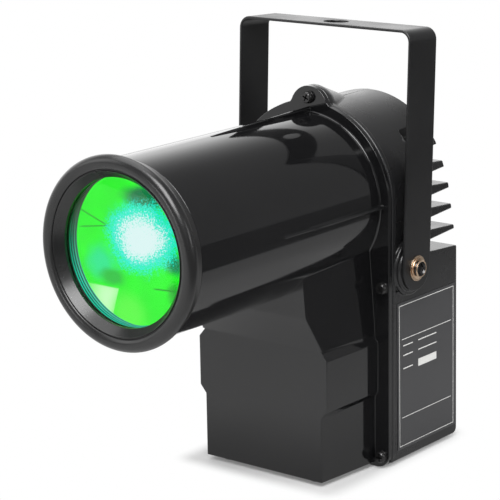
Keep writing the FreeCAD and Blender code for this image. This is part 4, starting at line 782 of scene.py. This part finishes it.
def make_digits():
    """Three generic digits of the address display, as flat bars just under the window."""
    window_low, window_high = span("display_window")
    y = (span("display_module")[1].y + window_low.y) / 2
    middle_z = (window_low.z + window_high.z) / 2
    tall, wide, pitch, stroke, short, thick = 3.9, 4.0, 8.0, 0.9, 0.15, 0.2
    ends = {"a": ((0, 1), (1, 1)), "b": ((1, 1), (1, 0)), "c": ((1, 0), (1, -1)),
            "d": ((0, -1), (1, -1)), "e": ((0, 0), (0, -1)), "f": ((0, 1), (0, 0))}
    lit = {"0": "abcdef", "1": "bc"}
    form = bmesh.new()
    for index, digit in enumerate("001"):
        for segment in lit[digit]:
            first, last = (Vector((pitch * (1 - index) - (u - 0.5) * wide, y,
                                   middle_z + v * tall)) for u, v in ends[segment])
            along = (last - first).normalized()
            side = Vector((along.z, 0, -along.x)) * stroke / 2
            taper = along * stroke / 2
            start, end = first + along * short, last - along * short
            ring = [start, start + taper + side, end - taper + side, end, end - taper - side,
                    start + taper - side]
            outer = [form.verts.new(corner) for corner in ring]
            inner = [form.verts.new(corner + Vector((0, thick, 0))) for corner in ring]
            form.faces.new(outer[::-1])
            form.faces.new(inner)
            wall(form, outer, inner)
    fit(object_from("address_digits", *outward(form)), "head", [], SEGMENT)


make_rim()
make_lens()
make_pivot_bolts()
make_rib_crests()
make_screws()
make_tube_root()
make_digits()


# Room: pale floor, soft lamps and the camera


def pale_floor():
    """White paper sweep: lit, with a painted shadow that darkens its colour close to the light,
    plain white further out.
    """
    material, tree, place = new_material("floor_paper")
    x, y = in_mm(tree, place, "XY")
    half_width, middle_y, half_depth = 44.0, 57.0, 57.0
    side = sums(tree, "MAXIMUM", sums(tree, "SUBTRACT", gap(tree, x, 0.0), half_width))
    depth = sums(tree, "MAXIMUM", sums(tree, "SUBTRACT", gap(tree, y, middle_y), half_depth))
    away = diagonal(tree, side, depth)
    tone = blend(tree, noise(tree, place, 60.0), linear("#e4e4e4"), linear("#e9e9e9"))
    # Painted shadow: the paper's colour darkens to #c4c4c4 within about 32 mm of the light's
    # footprint
    near = blend(tree, ramp(tree, away, 2.0, 32.0), linear("#c4c4c4"), tone)
    lit = add(tree, "ShaderNodeBsdfDiffuse", {"Color": near})
    white = add(tree, "ShaderNodeEmission", {"Color": linear("#ffffff"), "Strength": 1.0})
    plain = ramp(tree, away, 1.0, 16.0, 0.15, 1.0)
    shown = add(tree, "ShaderNodeMixShader", {0: plain, 1: lit.outputs[0], 2: white.outputs[0]})

    # What gloss mirrors of it: painted light, brighter on the left, with a painted shadow that dims
    # it by the light, and dark past the paper's edge
    leftward = sums(tree, "MULTIPLY_ADD", y, -0.45, sums(tree, "MULTIPLY", x, -1.0))
    painted_light_and_shade = sums(tree, "MULTIPLY", ramp(tree, leftward, -300.0, 100.0, 0.55, 1.0),
                    ramp(tree, away, 0.0, 110.0, 0.6, 1.0))
    paper_edge, edge_width, past_edge = 266.0, 10.0, 0.13
    sheen = add(tree, "ShaderNodeMix", {
        "Factor": ramp(tree, x, paper_edge, paper_edge + edge_width), "A": painted_light_and_shade,
        "B": past_edge}, data_type="FLOAT").outputs["Result"]
    mirrored_floor = add(tree, "ShaderNodeEmission", {"Color": linear("#ffffff"),
                                                      "Strength": sheen})
    seen = add(tree, "ShaderNodeLightPath").outputs
    direct = sums(tree, "MAXIMUM", seen["Is Camera Ray"], seen["Is Transmission Ray"])
    inner = add(tree, "ShaderNodeMixShader", {0: seen["Is Glossy Ray"], 1: lit.outputs[0],
                                              2: mirrored_floor.outputs[0]})
    finish_with(tree, add(tree, "ShaderNodeMixShader", {0: direct, 1: inner.outputs[0],
                                                        2: shown.outputs[0]}))
    reach = 30000.0
    floor = object_from("floor", [(-reach, -reach, 0), (reach, -reach, 0), (reach, reach, 0),
                                  (-reach, reach, 0)], [(0, 1, 2, 3)])
    give(floor, material)


def white_room():
    """White walls to the eye, with a bright low sweep on the left and darker cloth on the right."""
    world = bpy.data.worlds.new("studio")
    bpy.context.scene.world = world
    world.use_nodes = True
    tree = world.node_tree
    tree.nodes.clear()
    way = add(tree, "ShaderNodeTexCoord").outputs["Generated"]
    toward = add(tree, "ShaderNodeVectorMath", {0: way, 1: (-0.80, 0.58, 0.05)},
                 operation="DOT_PRODUCT").outputs["Value"]
    height = add(tree, "ShaderNodeSeparateXYZ", {"Vector": way}).outputs["Z"]
    sweep = sums(tree, "MULTIPLY", ramp(tree, toward, 0.42, 0.92),
                 ramp(tree, height, 0.28, 0.78, 1.0, 0.0))
    cloth, sweep_gain, diffuse_gain = 0.30, 1.45, 0.35
    mirrored_room = sums(tree, "MULTIPLY_ADD", sweep, sweep_gain, cloth)
    seen = add(tree, "ShaderNodeLightPath").outputs
    indirect = sums(tree, "MULTIPLY_ADD", seen["Is Diffuse Ray"], diffuse_gain, mirrored_room)
    direct = sums(tree, "MAXIMUM", seen["Is Camera Ray"], seen["Is Transmission Ray"])
    strength = add(tree, "ShaderNodeMix", {"Factor": direct, "A": indirect, "B": 1.0},
                   data_type="FLOAT").outputs["Result"]
    back = add(tree, "ShaderNodeBackground", {"Color": linear("#ffffff"), "Strength": strength})
    add(tree, "ShaderNodeOutputWorld", {"Surface": back.outputs[0]})


def soft_lamp(name, place, size, brightness):
    """A soft box that faces the light, with a brightness of its face where 1 is white paper."""
    target = Vector((0, 0, 110))
    data = bpy.data.lights.new(name, "AREA")
    data.shape = "RECTANGLE"
    data.size, data.size_y = size[0] * MM, size[1] * MM
    data.energy = brightness * math.pi * data.size * data.size_y
    lamp = bpy.data.objects.new(name, data)
    bpy.context.collection.objects.link(lamp)
    lamp.location = Vector(place) * MM
    way = (target - Vector(place)).normalized()
    lamp.rotation_euler = way.to_track_quat("-Z", "Y").to_euler()


def photo_camera():
    """The camera that the photograph was taken with, as worked out from the object's edges."""
    turn, pitch, yaw, roll = (math.radians(a) for a in (36.372, 14.113, 2.297, -0.985))
    distance, height = 1134.5, 398.4
    focal_pixels, frame_pixels, sensor = 2096.2, 500, 36.0
    data = bpy.data.cameras.new("photo")
    data.sensor_width = sensor
    data.lens = focal_pixels / frame_pixels * sensor
    data.clip_start = 50.0 * MM
    camera = bpy.data.objects.new("photo", data)
    bpy.context.collection.objects.link(camera)
    way = turn + yaw
    forward = Vector((-math.sin(way) * math.cos(pitch), math.cos(way) * math.cos(pitch),
                      -math.sin(pitch)))
    right = forward.cross(Vector((0, 0, 1))).normalized()
    up = right.cross(forward)
    across = right * math.cos(roll) + up * math.sin(roll)
    upright = up * math.cos(roll) - right * math.sin(roll)
    camera.matrix_world = Matrix((across, upright, -forward)).transposed().to_4x4()
    camera.location = Vector((math.sin(turn) * distance, PIVOT.y - math.cos(turn) * distance,
                              height)) * MM
    bpy.context.scene.camera = camera


pale_floor()
white_room()
soft_lamp("overhead_box", (-420, 0, 1280), (1600, 860), 2.3)
soft_lamp("front_left_box", (-1100, -900, 750), (600, 800), 2.0)
soft_lamp("front_right_box", (470, -600, 1180), (620, 1000), 10.0)
soft_lamp("right_strip", (1250, 220, 560), (200, 520), 5.0)
soft_lamp("front_strip", (-300, -1350, 330), (220, 420), 5.0)
photo_camera()
bpy.context.scene.view_settings.view_transform = "Standard"
